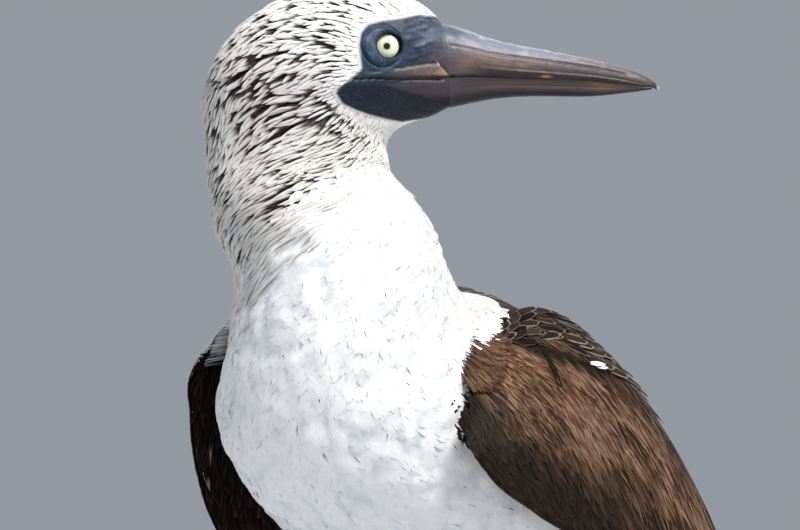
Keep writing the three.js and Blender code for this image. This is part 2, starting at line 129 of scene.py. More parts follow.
WING_RIGHT = np.array([
    [67, -25, 287.5, 46.6, 12.4, 12, 20, 3.0],
    [72, -19.5, 282, 51.7, 27.4, 13, 30, 10.0],
    [74.5, -6.2, 272, 49, 42.7, 15, 40, 14],
    [77.5, 14.5, 256, 46.7, 58.4, 18, 50, 15.5],
    [79.5, 43.5, 235.5, 45, 68.6, 22, 56, 16],
    [77, 86.5, 214.5, 43.1, 65.1, 27, 54, 15],
    [69, 132.5, 188, 40.1, 53.6, 32.5, 44, 12],
    [54, 186, 163, 30, 37, 39, 28, 9.5],
    [38, 227, 139, 29, 25, 44, 14, 7],
    [26, 264, 118, 28, 16, 47, 6, 5.2],
    [18, 296, 100, 27, 9.5, 50, 3, 4.0],
    [13, 320, 86.5, 26, 4.8, 52, 1, 2.6],
    [11, 333, 79.5, 26, 2.0, 52, 1, 1.4],
], float)
WINGS = {1: WING, -1: WING_RIGHT}
TAIL = np.array([[0.3, 15, 17], [20, 21, 13], [55, 26, 9.5], [90, 27, 7.5], [120, 22, 6], [145, 14, 4.6], [162, 7, 3.4], [172, 2.2, 2.0]], float)
THIGH = np.array([[33, 46, 182, 22, 42], [35, 54, 158, 22, 38], [36.5, 64, 134, 19.5, 30], [38, 74, 112, 15, 20], [38.5, 81, 93, 10, 12], [38.5, 84, FLOOR+61, 6.6, 7.4]], float)
BILL = np.array([
    [30.9, 421.6, 397.7, 383.9, 13.4], [38.6, 419.4, 398.1, 385.5, 12.9], [48.4, 415.4, 397.9, 387.3, 11.7],
    [58.7, 412.8, 397.4, 388.5, 10.2], [68.6, 410.8, 397.0, 388.9, 8.8], [78.5, 408.9, 396.5, 388.9, 7.6],
    [88.8, 406.8, 396.1, 388.8, 6.6], [98.7, 404.8, 395.4, 389.1, 5.6], [108.5, 402.1, 394.3, 390.2, 4.6],
    [116.6, 399.0, 393.2, 391.2, 3.5], [122.0, 396.0, 392.8, 392.0, 2.4], [125.4, 393.2, 391.4, 391.2, 0.9]], float)

# ------------------------------------------------------------------ small helpers
def spow(c, e): return np.sign(c)*np.abs(c)**e
def smooth(a, b, x):
    t = np.clip((np.asarray(x, float)-a)/(b-a), 0, 1); return t*t*(3-2*t)
def lin(r, g, b):
    c = np.array([r, g, b], float)/255.0
    return np.where(c <= 0.04045, c/12.92, ((c+0.055)/1.055)**2.4)
def mix(a, b, t):
    t = np.asarray(t, float)[..., None]; return a*(1-t)+b*t
def knots_of(tab, depth=True):
    d = np.linalg.norm(np.diff(tab[:, :3], axis=0), axis=1)
    if depth:
        d = d+np.radians(np.abs(np.diff(tab[:, 4])))*0.3*(tab[1:, 6]+tab[:-1, 6])
    return np.concatenate([[0], np.cumsum(d)])
def catmull(ts, vals, t):
    t = np.asarray(t, float); n = len(ts); h = np.diff(ts); s = (vals[1:]-vals[:-1])/h[:, None]
    m = np.zeros_like(vals); m[0] = s[0]; m[-1] = s[-1]
    m[1:-1] = (s[:-1]*h[1:, None]+s[1:]*h[:-1, None])/(h[:-1]+h[1:])[:, None]
    i = np.clip(np.searchsorted(ts, t, side='right')-1, 0, n-2)
    x = ((t-ts[i])/h[i])[..., None]; hh = h[i][..., None]
    return ((2*x**3-3*x**2+1)*vals[i]+(x**3-2*x**2+x)*hh*m[i]+(-2*x**3+3*x**2)*vals[i+1]+(x**3-x**2)*hh*m[i+1])
KN, WKN = knots_of(MAIN), {sd: knots_of(WINGS[sd], False) for sd in (1, -1)}
def knot_at(st):
    i = min(int(st), len(KN)-2); return KN[i]+(st-i)*(KN[i+1]-KN[i])
def section(v, phi, grow=0.0):
    tau, p = np.radians(v[..., 3]), np.radians(v[..., 4])
    h = np.stack([np.sin(tau), -np.cos(tau), 0*tau], -1)
    D = np.stack([-h[..., 0]*np.sin(p), -h[..., 1]*np.sin(p), np.cos(p)], -1)
    L = np.stack([-h[..., 1], h[..., 0], 0*tau], -1)
    c, s = spow(np.cos(phi), 2/v[..., 8]), spow(np.sin(phi), 2/v[..., 8])
    dep = np.where(np.cos(phi) >= 0, v[..., 6], v[..., 7])+grow
    return v[..., :3]+D*(c*dep)[..., None]+L*(s*(v[..., 5]+grow))[..., None]

def value_noise(P, scale, seed):
    """smooth noise -1..1 on points, from hashed lattice corners"""
    Q = np.asarray(P, float)/scale; i = np.floor(Q).astype(np.int64); f = Q-i; f = f*f*(3-2*f)
    def h(a):
        n = (a[..., 0]*374761393+a[..., 1]*668265263+a[..., 2]*2147483647+seed*974711) & 0xffffffff
        n = ((n ^ (n >> 13))*1274126177) & 0xffffffff
        return ((n ^ (n >> 16)) & 0xffff)/32767.5-1
    out = 0
    for dx in (0, 1):
        for dy in (0, 1):
            for dz in (0, 1):
                w = (f[..., 0] if dx else 1-f[..., 0])*(f[..., 1] if dy else 1-f[..., 1])*(f[..., 2] if dz else 1-f[..., 2])
                out = out+w*h(i+np.array([dx, dy, dz]))
    return out
def fbm(P, scale, seed, n=3):
    return sum(value_noise(P, scale/2**k, seed+k)*0.5**k for k in range(n))/1.75

class Surf:
    """a grid of points with normals, sampled between its nodes; f may be closed"""
    def __init__(self, P, closed, flip=False):
        self.P, self.closed = P, closed
        ds = np.gradient(P, axis=0)
        df = (np.roll(P, -1, 1)-np.roll(P, 1, 1))/2 if closed else np.gradient(P, axis=1)
        N = np.cross(df, ds); N /= np.linalg.norm(N, axis=-1, keepdims=True)+1e-9
        if flip: N = -N
        self.N, self.ms, self.mf = N, np.linalg.norm(ds, axis=-1), np.linalg.norm(df, axis=-1)
        self.ns, self.nf = P.shape[:2]
    def at(self, s, f, what='P'):
        A = getattr(self, what)
        s = np.clip(s, 0, self.ns-1.0001); i = np.floor(s).astype(int); x = s-i
        if self.closed:
            f = np.mod(f, self.nf); j = np.floor(f).astype(int) % self.nf; y = f-np.floor(f); k = (j+1) % self.nf
        else:
            f = np.clip(f, 0, self.nf-1.0001); j = np.floor(f).astype(int); y = f-j; k = j+1
        if A.ndim == 3: x, y = x[..., None], y[..., None]
        return (A[i, j]*(1-x)+A[i+1, j]*x)*(1-y)+(A[i, k]*(1-x)+A[i+1, k]*x)*y

def mesh_object(name, V, quads, col=None, uvs=None, mat=None, tris=None, smooth_shade=True, extra=None, normals=None):
    """V in drawing mm; quads (n,4); uvs: dict name -> per vertex uv"""
    me = bpy.data.meshes.new(name)
    V = world(V)
    quads = np.asarray(quads, np.int32).reshape(-1, 4)
    tris = np.zeros((0, 3), np.int32) if tris is None else np.asarray(tris, np.int32).reshape(-1, 3)
    me.vertices.add(len(V)); me.vertices.foreach_set('co', V.astype(np.float32).ravel())
    loops = np.concatenate([quads.ravel(), tris.ravel()])
    me.loops.add(len(loops)); me.loops.foreach_set('vertex_index', loops)
    me.polygons.add(len(quads)+len(tris))
    start = np.concatenate([np.arange(len(quads))*4, len(quads)*4+np.arange(len(tris))*3])
    me.polygons.foreach_set('loop_start', start.astype(np.int32))
    me.update(calc_edges=True); me.validate()
    me.polygons.foreach_set('use_smooth', np.full(len(me.polygons), smooth_shade))
    if uvs and len(me.loops) == len(loops):
        for k, uv in uvs.items():
            lay = me.uv_layers.new(name=k)
            lay.data.foreach_set('uv', np.asarray(uv)[loops].astype(np.float32).ravel())
    if col is not None:
        a = me.attributes.new('col', 'FLOAT_COLOR', 'POINT')
        c = np.ones((len(V), 4), np.float32); c[:, :3] = np.clip(col, 0, 1)
        a.data.foreach_set('color', c.ravel())
    for k, v in (extra or {}).items():
        a = me.attributes.new(k, 'FLOAT', 'POINT'); a.data.foreach_set('value', np.asarray(v, np.float32).ravel())
    if normals is not None: me.normals_split_custom_set_from_vertices(normals.astype(np.float32))
    o = bpy.data.objects.new(name, me); bpy.context.scene.collection.objects.link(o)
    if mat: me.materials.append(mat)
    return o

def grid_quads(ns, nf, closed, off=0):
    i, j = np.meshgrid(np.arange(ns-1), np.arange(nf if closed else nf-1), indexing='ij')
    k = (j+1) % nf
    return off+np.stack([i*nf+j, i*nf+k, (i+1)*nf+k, (i+1)*nf+j], -1).reshape(-1, 4)

# ------------------------------------------------------------------ materials
def new_mat(name):
    m = bpy.data.materials.new(name); m.use_nodes = True
    nt = m.node_tree; b = nt.nodes['Principled BSDF']
    return m, nt, b
def node(nt, kind, **kw):
    n = nt.nodes.new(kind)
    for k, v in kw.items():
        if k == 'ins':
            for a, b in v.items(): n.inputs[a].default_value = b
        else: setattr(n, k, v)
    return n

def feather_material(name, rough=0.7, streak=0.16, barb=60.0, spec=0.25, sheen=0.0, fleck=0.0, fleck_col=(0.9, 0.8, 0.68)):
    m, nt, b = new_mat(name); L = nt.links.new
    at = node(nt, 'ShaderNodeAttribute', attribute_name='col')
    uv = node(nt, 'ShaderNodeUVMap', uv_map='Vane')
    mp = node(nt, 'ShaderNodeMapping'); mp.inputs['Scale'].default_value = (barb, 2.2, 1)
    L(uv.outputs['UV'], mp.inputs['Vector'])
    tc = node(nt, 'ShaderNodeTexCoord'); far = node(nt, 'ShaderNodeVectorMath', operation='SCALE'); far.inputs['Scale'].default_value = 140.0; L(tc.outputs['Object'], far.inputs[0])
    add = node(nt, 'ShaderNodeVectorMath', operation='ADD'); L(mp.outputs['Vector'], add.inputs[0]); L(far.outputs['Vector'], add.inputs[1])
    ns = node(nt, 'ShaderNodeTexNoise', ins={'Scale': 1.0, 'Detail': 3.0, 'Roughness': 0.6})
    L(add.outputs['Vector'], ns.inputs['Vector'])
    mr = node(nt, 'ShaderNodeMapRange', ins={'From Min': 0.25, 'From Max': 0.75, 'To Min': 1-streak, 'To Max': 1+streak})
    L(ns.outputs['Fac'], mr.inputs['Value'])
    mul = node(nt, 'ShaderNodeVectorMath', operation='SCALE')
    L(at.outputs['Color'], mul.inputs[0]); L(mr.outputs['Result'], mul.inputs['Scale'])
    L(mul.outputs['Vector'], b.inputs['Base Color'])
    bp = node(nt, 'ShaderNodeBump', ins={'Strength': 0.35, 'Distance': 0.0004})
    L(ns.outputs['Fac'], bp.inputs['Height']); L(bp.outputs['Normal'], b.inputs['Normal'])
    b.inputs['Roughness'].default_value = rough
    b.inputs['Specular IOR Level'].default_value = spec
    if sheen:
        b.inputs['Sheen Weight'].default_value = sheen; b.inputs['Sheen Roughness'].default_value = 0.5
    return m

# ------------------------------------------------------------------ colours
WHITE = lin(240, 240, 238); OFFWHITE = lin(222, 219, 212); CREAM = lin(206, 198, 184)
DARK = lin(40, 27, 20); BROWN = lin(78, 50, 33); WARM = lin(118, 84, 60); PALE_EDGE = lin(186, 164, 140)
UMBER = lin(58, 36, 24); GREYB = lin(108, 96, 88)

# ------------------------------------------------------------------ the bare face, in the head's own plane (u, z)
def photo_mm(x, y): return ((x-378.0)/2.23, 262.0+(380.0-y)/2.23)
FACE_EDGE = [(470, 12), (437, 18), (420, 16), (400, 20.5), (382, 23), (368, 27), (361.5, 35), (359.5, 47), (361, 60), (362, 71),
             (352, 80), (338, 91), (336, 95), (343, 106), (356, 112), (371, 117), (386, 120.5), (402, 123), (470, 112)]
FACE_EDGE = np.array([photo_mm(*p) for p in FACE_EDGE])
def poly_dist(u, z, poly):
    """distance outside a polygon of the head's own plane, negative inside"""
    P = np.stack([u, z], -1); d = np.full(P.shape[:-1], 1e9); inside = np.zeros(P.shape[:-1], bool)
    n = len(poly)
    for i in range(n):
        a, b = poly[i], poly[(i+1) % n]; e = b-a; w = P-a
        t = np.clip((w@e)/(e@e), 0, 1); d = np.minimum(d, np.linalg.norm(w-t[..., None]*e, axis=-1))
        c = ((a[1] > P[..., 1]) != (b[1] > P[..., 1]))
        with np.errstate(divide='ignore', invalid='ignore'):
            x = a[0]+(P[..., 1]-a[1])/(b[1]-a[1]+1e-12)*(b[0]-a[0])
        inside ^= c & (P[..., 0] < x)
    return np.where(inside, -d, d)
def face_dist(u, z): return poly_dist(u, z, FACE_EDGE)
def outline(*pts): return np.array([photo_mm(*p) for p in pts])
PLATE = outline((350, 80.5), (368, 75), (390, 71.5), (412, 68.5), (430, 65.5), (437, 65.5), (443, 70), (449, 77.5), (440, 79.6), (400, 80.2), (372, 80.2))
JAW_HORN = outline((384, 86), (420, 83.5), (470, 82), (470, 103), (446, 103), (425, 98), (402, 92))
def line_dist(u, z, pts):
    P = np.stack([u, z], -1); d = np.full(P.shape[:-1], 1e9); sd = np.zeros(P.shape[:-1])
    for a, b in zip(pts[:-1], pts[1:]):
        a, b = np.array(a), np.array(b); e = b-a; w = P-a
        t = np.clip((w@e)/(e@e), 0, 1); q = w-t[..., None]*e; dd = np.linalg.norm(q, axis=-1)
        s = np.where(q[..., 1] >= 0, 1, -1); upd = dd < d; d = np.where(upd, dd, d); sd = np.where(upd, s*dd, sd)
    return sd
GAPE = [photo_mm(*p) for p in [(334, 95), (341, 86), (350, 81.5), (372, 80), (400, 81), (425, 81), (440, 80), (462, 77)]]
def head_uwz(P):
    return P@R, P@K-HEAD_OUT, P[..., 2]
def streak_field(P):
    """positive where head and neck are streaked, in mm from the edge of the white"""
    u, w, z = head_uwz(P)
    n = 9*fbm(P, 26.0, 31, 2)
    return z-365-0.936*(u-5.4)-0.45*np.minimum(w, 10)*1.0+n+2
def billow(n): return np.clip((np.sqrt(n*n+0.005)-0.07)/0.46, 0, 1)**0.8
def lump_off(P):
    """soft lumps where the breast feathers bunch, as a depth under the solids' surface"""
    Q = P*np.array([1, 1, 0.72])+3.5*np.stack([value_noise(P, 15, k) for k in (301, 302, 303)], -1)
    h = 0.52*billow(value_noise(Q, 12.0, 304))+0.48*billow(value_noise(Q, 6.0, 305))
    amp = 0.30+2.6*smooth(350, 322, P[..., 2])*(1-0.5*smooth(10, 40, P[..., 1]))
    return 0.10+amp*(1-h)
def coat_depth(P, T):
    """how far the skin lies under the solids' surface"""
    u, w, z = head_uwz(P)
    d = face_dist(u, z)
    grow = 1.9+0.9*smooth(knot_at(6), knot_at(12), T)+0.8*smooth(knot_at(13), knot_at(16), T)
    back = smooth(knot_at(19), knot_at(23), T)
    grow = grow*(1-0.45*back)
    # close under the lumps where the plumage is white
    plain = smooth(4, -12, streak_field(P))*(1-back)*smooth(60, 30, P[..., 1]); grow = grow*(1-plain)+(lump_off(P)+0.80)*plain
    return np.where(T < knot_at(8), 0.12+(grow-0.12)*smooth(-0.2, 4.0, d), grow), d

def ring_frame(side):
    f, e = rad(13), rad(6)
    ax = np.array([R[0]*math.sin(f)+side*K[0]*math.cos(f), R[1]*math.sin(f)+side*K[1]*math.cos(f), math.sin(e)])
    ax /= np.linalg.norm(ax)
    eye = head_point(EYE_ALONG, HEAD_OUT+side*EYE_SIDE, EYE_Z)
    return eye, ax

def ring_parts(P, side):
    """distance from the eye's axis, from the ring's own centre, height along the axis and the angle round it"""
    eye, ax = ring_frame(side); v = P-eye; al = v@ax; q = v-al[..., None]*ax; r = np.linalg.norm(q, axis=-1)
    ang = np.arctan2(q@UP, q@R)
    v = P-(eye-R*3.7-UP*0.5); rho = np.linalg.norm(v-(v@ax)[..., None]*ax, axis=-1)
    return al > 0, r, rho, ang, ax
def face_relief(P, N):
    """raised rings, folds, the gape and the fine wrinkles of bare skin; returns offset vectors and a wrinkle mask"""
    u, w, z = head_uwz(P); d = face_dist(u, z); bare = 1-smooth(-0.6, 0.4, d)
    off = np.zeros_like(P)
    sideways = smooth(0.35, 0.8, np.abs(N@K))
    g = line_dist(u, z, GAPE)
    # the gape: a deep line under the plate, a thin lip below it
    lip = -1.15*np.exp(-((g+0.1)/0.42)**2)+0.12*np.exp(-((g+1.6)/0.9)**2)
    start = smooth(-20, -15, u)
    off += N*(lip*bare*sideways*start)[..., None]
    # the plate over the gape, wedge-shaped, with a crease above it
    c = poly_dist(u, z, PLATE)
    off += N*((0.75*smooth(0.15, -1.6, c)-0.45*np.exp(-((c-0.45)/0.4)**2)*smooth(-0.5, 1.0, g))*bare*sideways*start)[..., None]
    j = poly_dist(u, z, JAW_HORN)
    off += N*((0.35*smooth(0.4, -1.2, j)-0.18*np.exp(-((j-0.5)/0.4)**2))*bare*sideways)[..., None]
    # rings round the eyes: a thick cushion, closest to the eye in front, folds behind and below
    for side in (1, -1):
        on, r, rho, ang, ax = ring_parts(P, side)
        cushion = 1.55*smooth(5.5, 6.7, r)*(1-smooth(7.7, 9.3, rho))
        dip = -0.45*np.exp(-((r-6.9-0.35*np.cos(ang))/0.33)**2)*smooth(0.2, -0.6, np.cos(ang-0.5))*(rho < 9)
        groove = -0.60*np.exp(-((rho-9.45)/0.42)**2)
        second = 0.75*np.exp(-((rho-10.5)/0.62)**2)*smooth(0.5, -0.5, np.cos(ang-0.8))
        ripple = 0.055*np.sin(ang*52+3*np.sin(ang*5))*np.exp(-((rho-7.6)/1.6)**2)
        fold = 0.11*np.sin(r*6.4+1.1*np.sin(ang*3))*smooth(5.8, 6.6, r)*(1-smooth(8.8, 9.6, rho))
        off += ax*((cushion+dip+groove+second+ripple+fold)*on)[..., None]
        # inside the lids the skin sinks under the eyeball
        off -= ax*(3.4*on*(1-smooth(5.3, 6.0, r)))[..., None]
    # wrinkles of the throat and cheek skin
    low = bare*(1-smooth(388.5, 396, z))*smooth(-0.5, 1.5, j)
    q = z*1.0+0.50*u+2.6*value_noise(P, 12.0, 11)+0.9*value_noise(P, 4.5, 13)
    wr = 0.11*np.sin(q*3.9)*(0.5+0.5*value_noise(P, 4.0, 12))+0.10*value_noise(np.stack([q*1.3, u*0.25, w*0.2], -1), 1.0, 15)
    off += N*(wr*low)[..., None]
    lore = bare*smooth(390, 398, z)*smooth(0.2, 1.2, c)
    # long shallow wrinkles running on towards the bill
    run = value_noise(np.stack([u*0.16, (z-0.15*u)*0.9, w*0.3], -1), 1.0, 8)+0.6*value_noise(np.stack([u*0.3, (z-0.15*u)*2.1, w*0.3], -1), 1.0, 9)
    peb = 0.09*value_noise(P, 1.1, 5)+0.07*value_noise(P, 0.6, 6)
    off += N*(peb*bare+0.26*run*lore*smooth(9, 15, u))[..., None]
    return off, bare

def horn_colours(LL, H, n1, n2, upper):
    """colours of the sheath: LL along the bill, H 0 at the edge of the mouth and 1 at the ridge"""
    if upper:
        top = mix(np.broadcast_to(lin(120, 124, 138), LL.shape+(3,)), lin(96, 84, 84), smooth(0.35, 0.85, LL+0.10*n1))
        side = mix(np.broadcast_to(lin(62, 52, 53), LL.shape+(3,)), lin(92, 73, 66), smooth(-0.3, 0.6, n1+0.5*np.sin(LL*6)))
        ridge = 0.60-0.02*np.cos(LL*5)
        C = mix(side, top, smooth(ridge-0.03, ridge+0.10, H+0.04*n1))
        C = mix(C, lin(66, 58, 64), smooth(0.12, 0.0, LL)*(1-smooth(0.4, 0.75, H))*0.7)
        C = mix(C, lin(7, 5, 5), smooth(0.26, 0.14, H+0.03*n2)*smooth(0.02, 0.22, LL)*0.97)
        C = mix(C, lin(34, 24, 22), smooth(0.80, 0.97, LL)*0.55)
        C = mix(C, lin(206, 196, 186), smooth(0.982, 0.998, LL)*0.7)
        C = mix(C, lin(50, 62, 80), smooth(0.14, 0.0, LL+0.06*n1)*smooth(0.30, 0.5, H)*0.75)
    else:
        C = mix(np.broadcast_to(lin(38, 32, 36), LL.shape+(3,)), lin(76, 60, 54), np.exp(-((H-0.45)/0.25)**2)*0.75*smooth(0.0, 0.2, LL))
        C = mix(C, lin(60, 56, 62), smooth(0.20, 0.0, LL+0.05*n2)*0.85*(1-smooth(0.55, 0.8, H)))
        C = mix(C, lin(16, 19, 26), smooth(0.60, 0.78, H+0.12*n1)*(1-smooth(0.62, 0.80, LL+0.1*n1)))
        C = mix(C, lin(116, 78, 50), np.exp(-((LL-0.78)/0.09)**2)*np.exp(-((H-0.35)/0.3)**2)*0.5)
        C = mix(C, lin(28, 22, 22), smooth(0.85, 1.0, LL)*0.7)
    return C*(1+0.16*n2)[..., None]

def horn_share(P):
    """how much of the sheath's colour shows at a place near the bill's base"""
    u, w, z = head_uwz(P); n = fbm(P, 7.0, 21)+0.5*value_noise(np.stack([u*0.2, z*0.9, w*0.3], -1), 1.0, 8)
    up = smooth(15, 28, u+3.0*n-0.10*(z-404))*smooth(0.2, 1.2, poly_dist(u, z, PLATE))
    return np.where(z > 397.8, up, smooth(14, 28, u+2.5*n+1.1*(z-389)))
def horn_at(P):
    u, w, z = head_uwz(P); b = catmull(BILL[:, 0], BILL, np.clip(u, BILL[0, 0], BILL[-1, 0])); up = z > b[..., 2]
    n1, n2 = fbm(P, 8.0, 93), fbm(np.stack([u*0.22, w, z], -1), 1.6, 96)
    LL = np.clip((u-30.9)/94.5, 0, 1); H = np.clip(np.where(up, (z-b[..., 2])/(b[..., 1]-b[..., 2]), (b[..., 2]-z)/(b[..., 2]-b[..., 3]+1e-6)), 0, 1)
    return np.where(up[..., None], horn_colours(LL, H, n1, n2, True), horn_colours(LL, H, n1, n2, False))
def skin_colour(P, N, T, bare, streaky, brown):
    u, w, z = head_uwz(P)
    d = face_dist(u, z)
    under = mix(np.broadcast_to(lin(214, 214, 214), P.shape), lin(30, 20, 15), np.clip(streaky, 0, 1)*smooth(1.0, 7.0, d+3.0*fbm(P, 5, 27)))
    under = mix(under, lin(44, 30, 22), brown)
    # painted shade: near black on the skin past the breast's edge, in front of the near wing
    pb = past_breast(P); under = mix(under, lin(22, 14, 11), smooth(-0.5, 1.0, pb)*smooth(30, 24, pb)*smooth(34, 28, P[..., 1]))
    n1, n2 = fbm(P, 7.0, 21), fbm(P, 2.2, 24)
    # streaks along the face, drawn out towards the bill
    n3 = value_noise(np.stack([u*0.16, (z-0.15*u)*0.9, w*0.3], -1), 1.0, 8)+0.5*value_noise(np.stack([u*0.35, (z-0.15*u)*2.3, w*0.4], -1), 1.0, 28)
    base = np.broadcast_to(lin(40, 56, 76), P.shape).copy()
    base = base*(1+0.20*n1+0.20*n2)[..., None]
    base = mix(base, lin(13, 19, 30), smooth(-0.1, 0.7, n3)*0.85*smooth(8, 14, u))
    # pale blue-grey streaks of the lores: partly the skin's own streaks, partly a painted highlight, more of it
    # towards the top
    base = mix(base, lin(132, 138, 150), smooth(0.05, 0.75, -n3+0.35*smooth(408, 418, z))*smooth(14, 24, u)*smooth(404, 412, z)*0.75)
    # below the gape: the skin's own dark blue-black, painted darker as shade where it faces down
    base = mix(base, lin(9, 17, 33), smooth(399, 391, z)*0.95)
    q = z*1.0+0.50*u+2.6*value_noise(P, 12.0, 11)+0.9*value_noise(P, 4.5, 13)
    low = smooth(396, 388, z)
    # painted highlight on the crests of the throat's wrinkles, painted shade in their troughs
    base = mix(base, lin(80, 94, 112), low*smooth(0.70, 1.35, np.sin(q*3.9)+0.9*n2)*0.24)
    base = mix(base, lin(7, 11, 20), low*smooth(0.0, 1.1, -np.sin(q*3.9)+0.8*n2)*0.7)
    g = line_dist(u, z, GAPE); c = poly_dist(u, z, PLATE); j = poly_dist(u, z, JAW_HORN)
    horn = smooth(0.5, -0.5, j)
    base = mix(base, lin(60, 56, 62)*(1+0.25*n2+0.15*n3)[..., None], horn*0.9)
    plate = smooth(0.35, -0.4, c)
    base = mix(base, mix(np.broadcast_to(lin(48, 54, 64), P.shape), lin(94, 84, 80), smooth(0, 22, u+3*n2))*(1+0.3*n3)[..., None], plate*0.95)
    base = mix(base, lin(160, 124, 92), plate*smooth(22.5, 30.5, u+1.0*n2-1.2*(z-399))*0.85)
    # painted highlight along the plate's upper edge
    base = mix(base, lin(150, 148, 148), np.exp(-((c+0.35)/0.35)**2)*smooth(0.5, 1.5, g)*smooth(0, 14, u)*0.22)
    # painted shade in the crease above the plate
    base = mix(base, lin(24, 26, 34), np.exp(-((c-0.5)/0.5)**2)*smooth(-0.5, 1.0, g)*0.8*smooth(-8, 4, u))
    base = mix(base, lin(226, 226, 228), np.exp(-(line_dist(u, z, [photo_mm(433, 60), photo_mm(437, 63.5), photo_mm(438.5, 67)])/0.26)**2)*smooth(-0.2, 0.6, n2+0.2)*0.8)
    # painted shade along the deep line of the gape
    base = mix(base, lin(14, 15, 20), np.exp(-((g+0.1)/0.6)**2)*smooth(-20, -15, u))
    # the sheath's colours come back over the last of the skin
    base = mix(base, horn_at(P), horn_share(P))
    for side in (1, -1):
        on, r, rho, ang, ax = ring_parts(P, side)
        cush = smooth(5.6, 6.5, r)*(1-smooth(8.6, 9.5, rho))
        # the ring's blue with painted light: lighter on the crests of its folds, painted shade on its lower side, in
        # the dip and in the groove round it, and a painted highlight on the outer fold
        ring = mix(np.broadcast_to(lin(36, 54, 76), P.shape), lin(84, 110, 136), smooth(-0.3, 1.0, n2+0.5*np.sin(r*6.4+1.1*np.sin(ang*3))))
        ring = mix(ring, lin(26, 38, 56), smooth(-0.1, -0.9, np.sin(ang+0.25))*0.35)
        base = mix(base, ring, on*cush*0.95)
        base = mix(base, lin(24, 34, 50), on*np.exp(-((r-6.9-0.35*np.cos(ang))/0.4)**2)*smooth(0.2, -0.6, np.cos(ang-0.5))*0.75)
        base = mix(base, lin(18, 26, 40), on*np.exp(-((rho-9.5)/0.5)**2)*0.9)
        base = mix(base, lin(58, 78, 100), on*np.exp(-((rho-10.5)/0.6)**2)*smooth(0.5, -0.5, np.cos(ang-0.8))*0.8)
        base = mix(base, lin(14, 18, 26), on*(1-smooth(5.85, 6.4, r)))
    return mix(under, base, bare)

# ------------------------------------------------------------------ markings of the plumage
def brown_field(P, N):
    """0..1 brown of the mantle and back"""
    Y = P[..., 1]; n = fbm(P, 22.0, 41, 2)
    top = smooth(0.05, 0.30, N[..., 2]*0.9+0.1*n-0.0)
    a = smooth(28, 42, Y+8*n)*(1-smooth(150, 172, Y+8*n))
    return top*a

# ------------------------------------------------------------------ main surface
NS, NF = 430, 220
Tm = np.linspace(0, KN[-1], NS)
PHI = np.arange(NF)*2*pi/NF
vals = catmull(KN, MAIN, Tm)
main = Surf(section(np.repeat(vals[:, None], NF, 1), np.repeat(PHI[None], NS, 0)), True)
if (main.N[300, 0]@np.array([0, 0.5, 1])) < 0: main.N = -main.N
main.T = np.repeat(Tm[:, None], NF, 1)
main.depth, main.fd = coat_depth(main.P, main.T)
main.streak = streak_field(main.P); main.brown = brown_field(main.P, main.N)

def wing_point(v, q, off, side):
    p, l, c = np.radians(v[..., 3]), np.radians(v[..., 5]), np.radians(np.maximum(v[..., 6], 0.5))/2
    H = np.stack([0*p, np.sin(p), np.cos(p)], -1)
    e1 = np.stack([-np.sin(l), H[..., 1]*np.cos(l), H[..., 2]*np.cos(l)], -1)
    e2 = np.stack([np.cos(l), H[..., 1]*np.sin(l), H[..., 2]*np.sin(l)], -1)
    r = (v[..., 4]/c)[..., None]; s, k = np.sin(q*c)[..., None], np.cos(q*c)[..., None]
    P = v[..., :3]+e1*r*s+e2*r*(k-1)+(e2*k+e1*s)*(off*v[..., 7]/2)[..., None]
    return P*np.array([float(side), 1, 1])
WNS, WNQ = 260, 101
def wing_surf(side, face):
    v = catmull(WKN[side], WINGS[side], WKN[side][-1]*np.linspace(0, 1, WNS)); v = np.repeat(v[:, None], WNQ, 1)
    q = np.repeat(np.linspace(-0.999, 0.999, WNQ)[None], WNS, 0)
    P = wing_point(v, q, face*(1-q*q)**0.4, side)
    s = Surf(P, False)
    want = np.array([side*1.0, 0, 0])*face
    if (s.N[WNS//3, WNQ//2]@want) < 0: s.N = -s.N
    s.hh, s.th = v[..., 4], v[..., 7]
    s.side = side
    return s
wing_out = {sd: wing_surf(sd, 1) for sd in (1, -1)}
wing_in = {sd: wing_surf(sd, -1) for sd in (1, -1)}

# ------------------------------------------------------------------ feathers
def lie_grid(S, want, weight):
    """the lie at each node, as cosine and sine from the direction of the rows, for a wanted direction in space"""
    es = np.gradient(S.P, axis=0); es /= np.linalg.norm(es, axis=-1, keepdims=True)+1e-9
    ef = np.roll(S.P, -1, 1)-np.roll(S.P, 1, 1); ef /= np.linalg.norm(ef, axis=-1, keepdims=True)+1e-9
    a, b = (want*es).sum(-1), (want*ef).sum(-1); a = a+np.maximum(0, 0.6-np.hypot(a, b))
    a, b = a*weight+(1-weight), b*weight; n = np.hypot(a, b)+1e-9
    S.ca, S.sa = a/n, b/n
def soft_surf():
    off = lump_off(main.P); g = Surf(main.P-main.N*off[..., None], True)
    N = np.where(((g.N*main.N).sum(-1) < 0)[..., None], -g.N, g.N)
    for _ in range(3):
        N = (np.concatenate([N[:1], N[:-1]])+2*N+np.concatenate([N[1:], N[-1:]]))/4; N = (np.roll(N, 1, 1)+2*N+np.roll(N, -1, 1))/4
    g.N = N/np.linalg.norm(N, axis=-1, keepdims=True)
    g.streak, g.brown, g.fd, g.depth = main.streak, main.brown, main.fd, np.maximum(main.depth-off, 0.35)
    return g
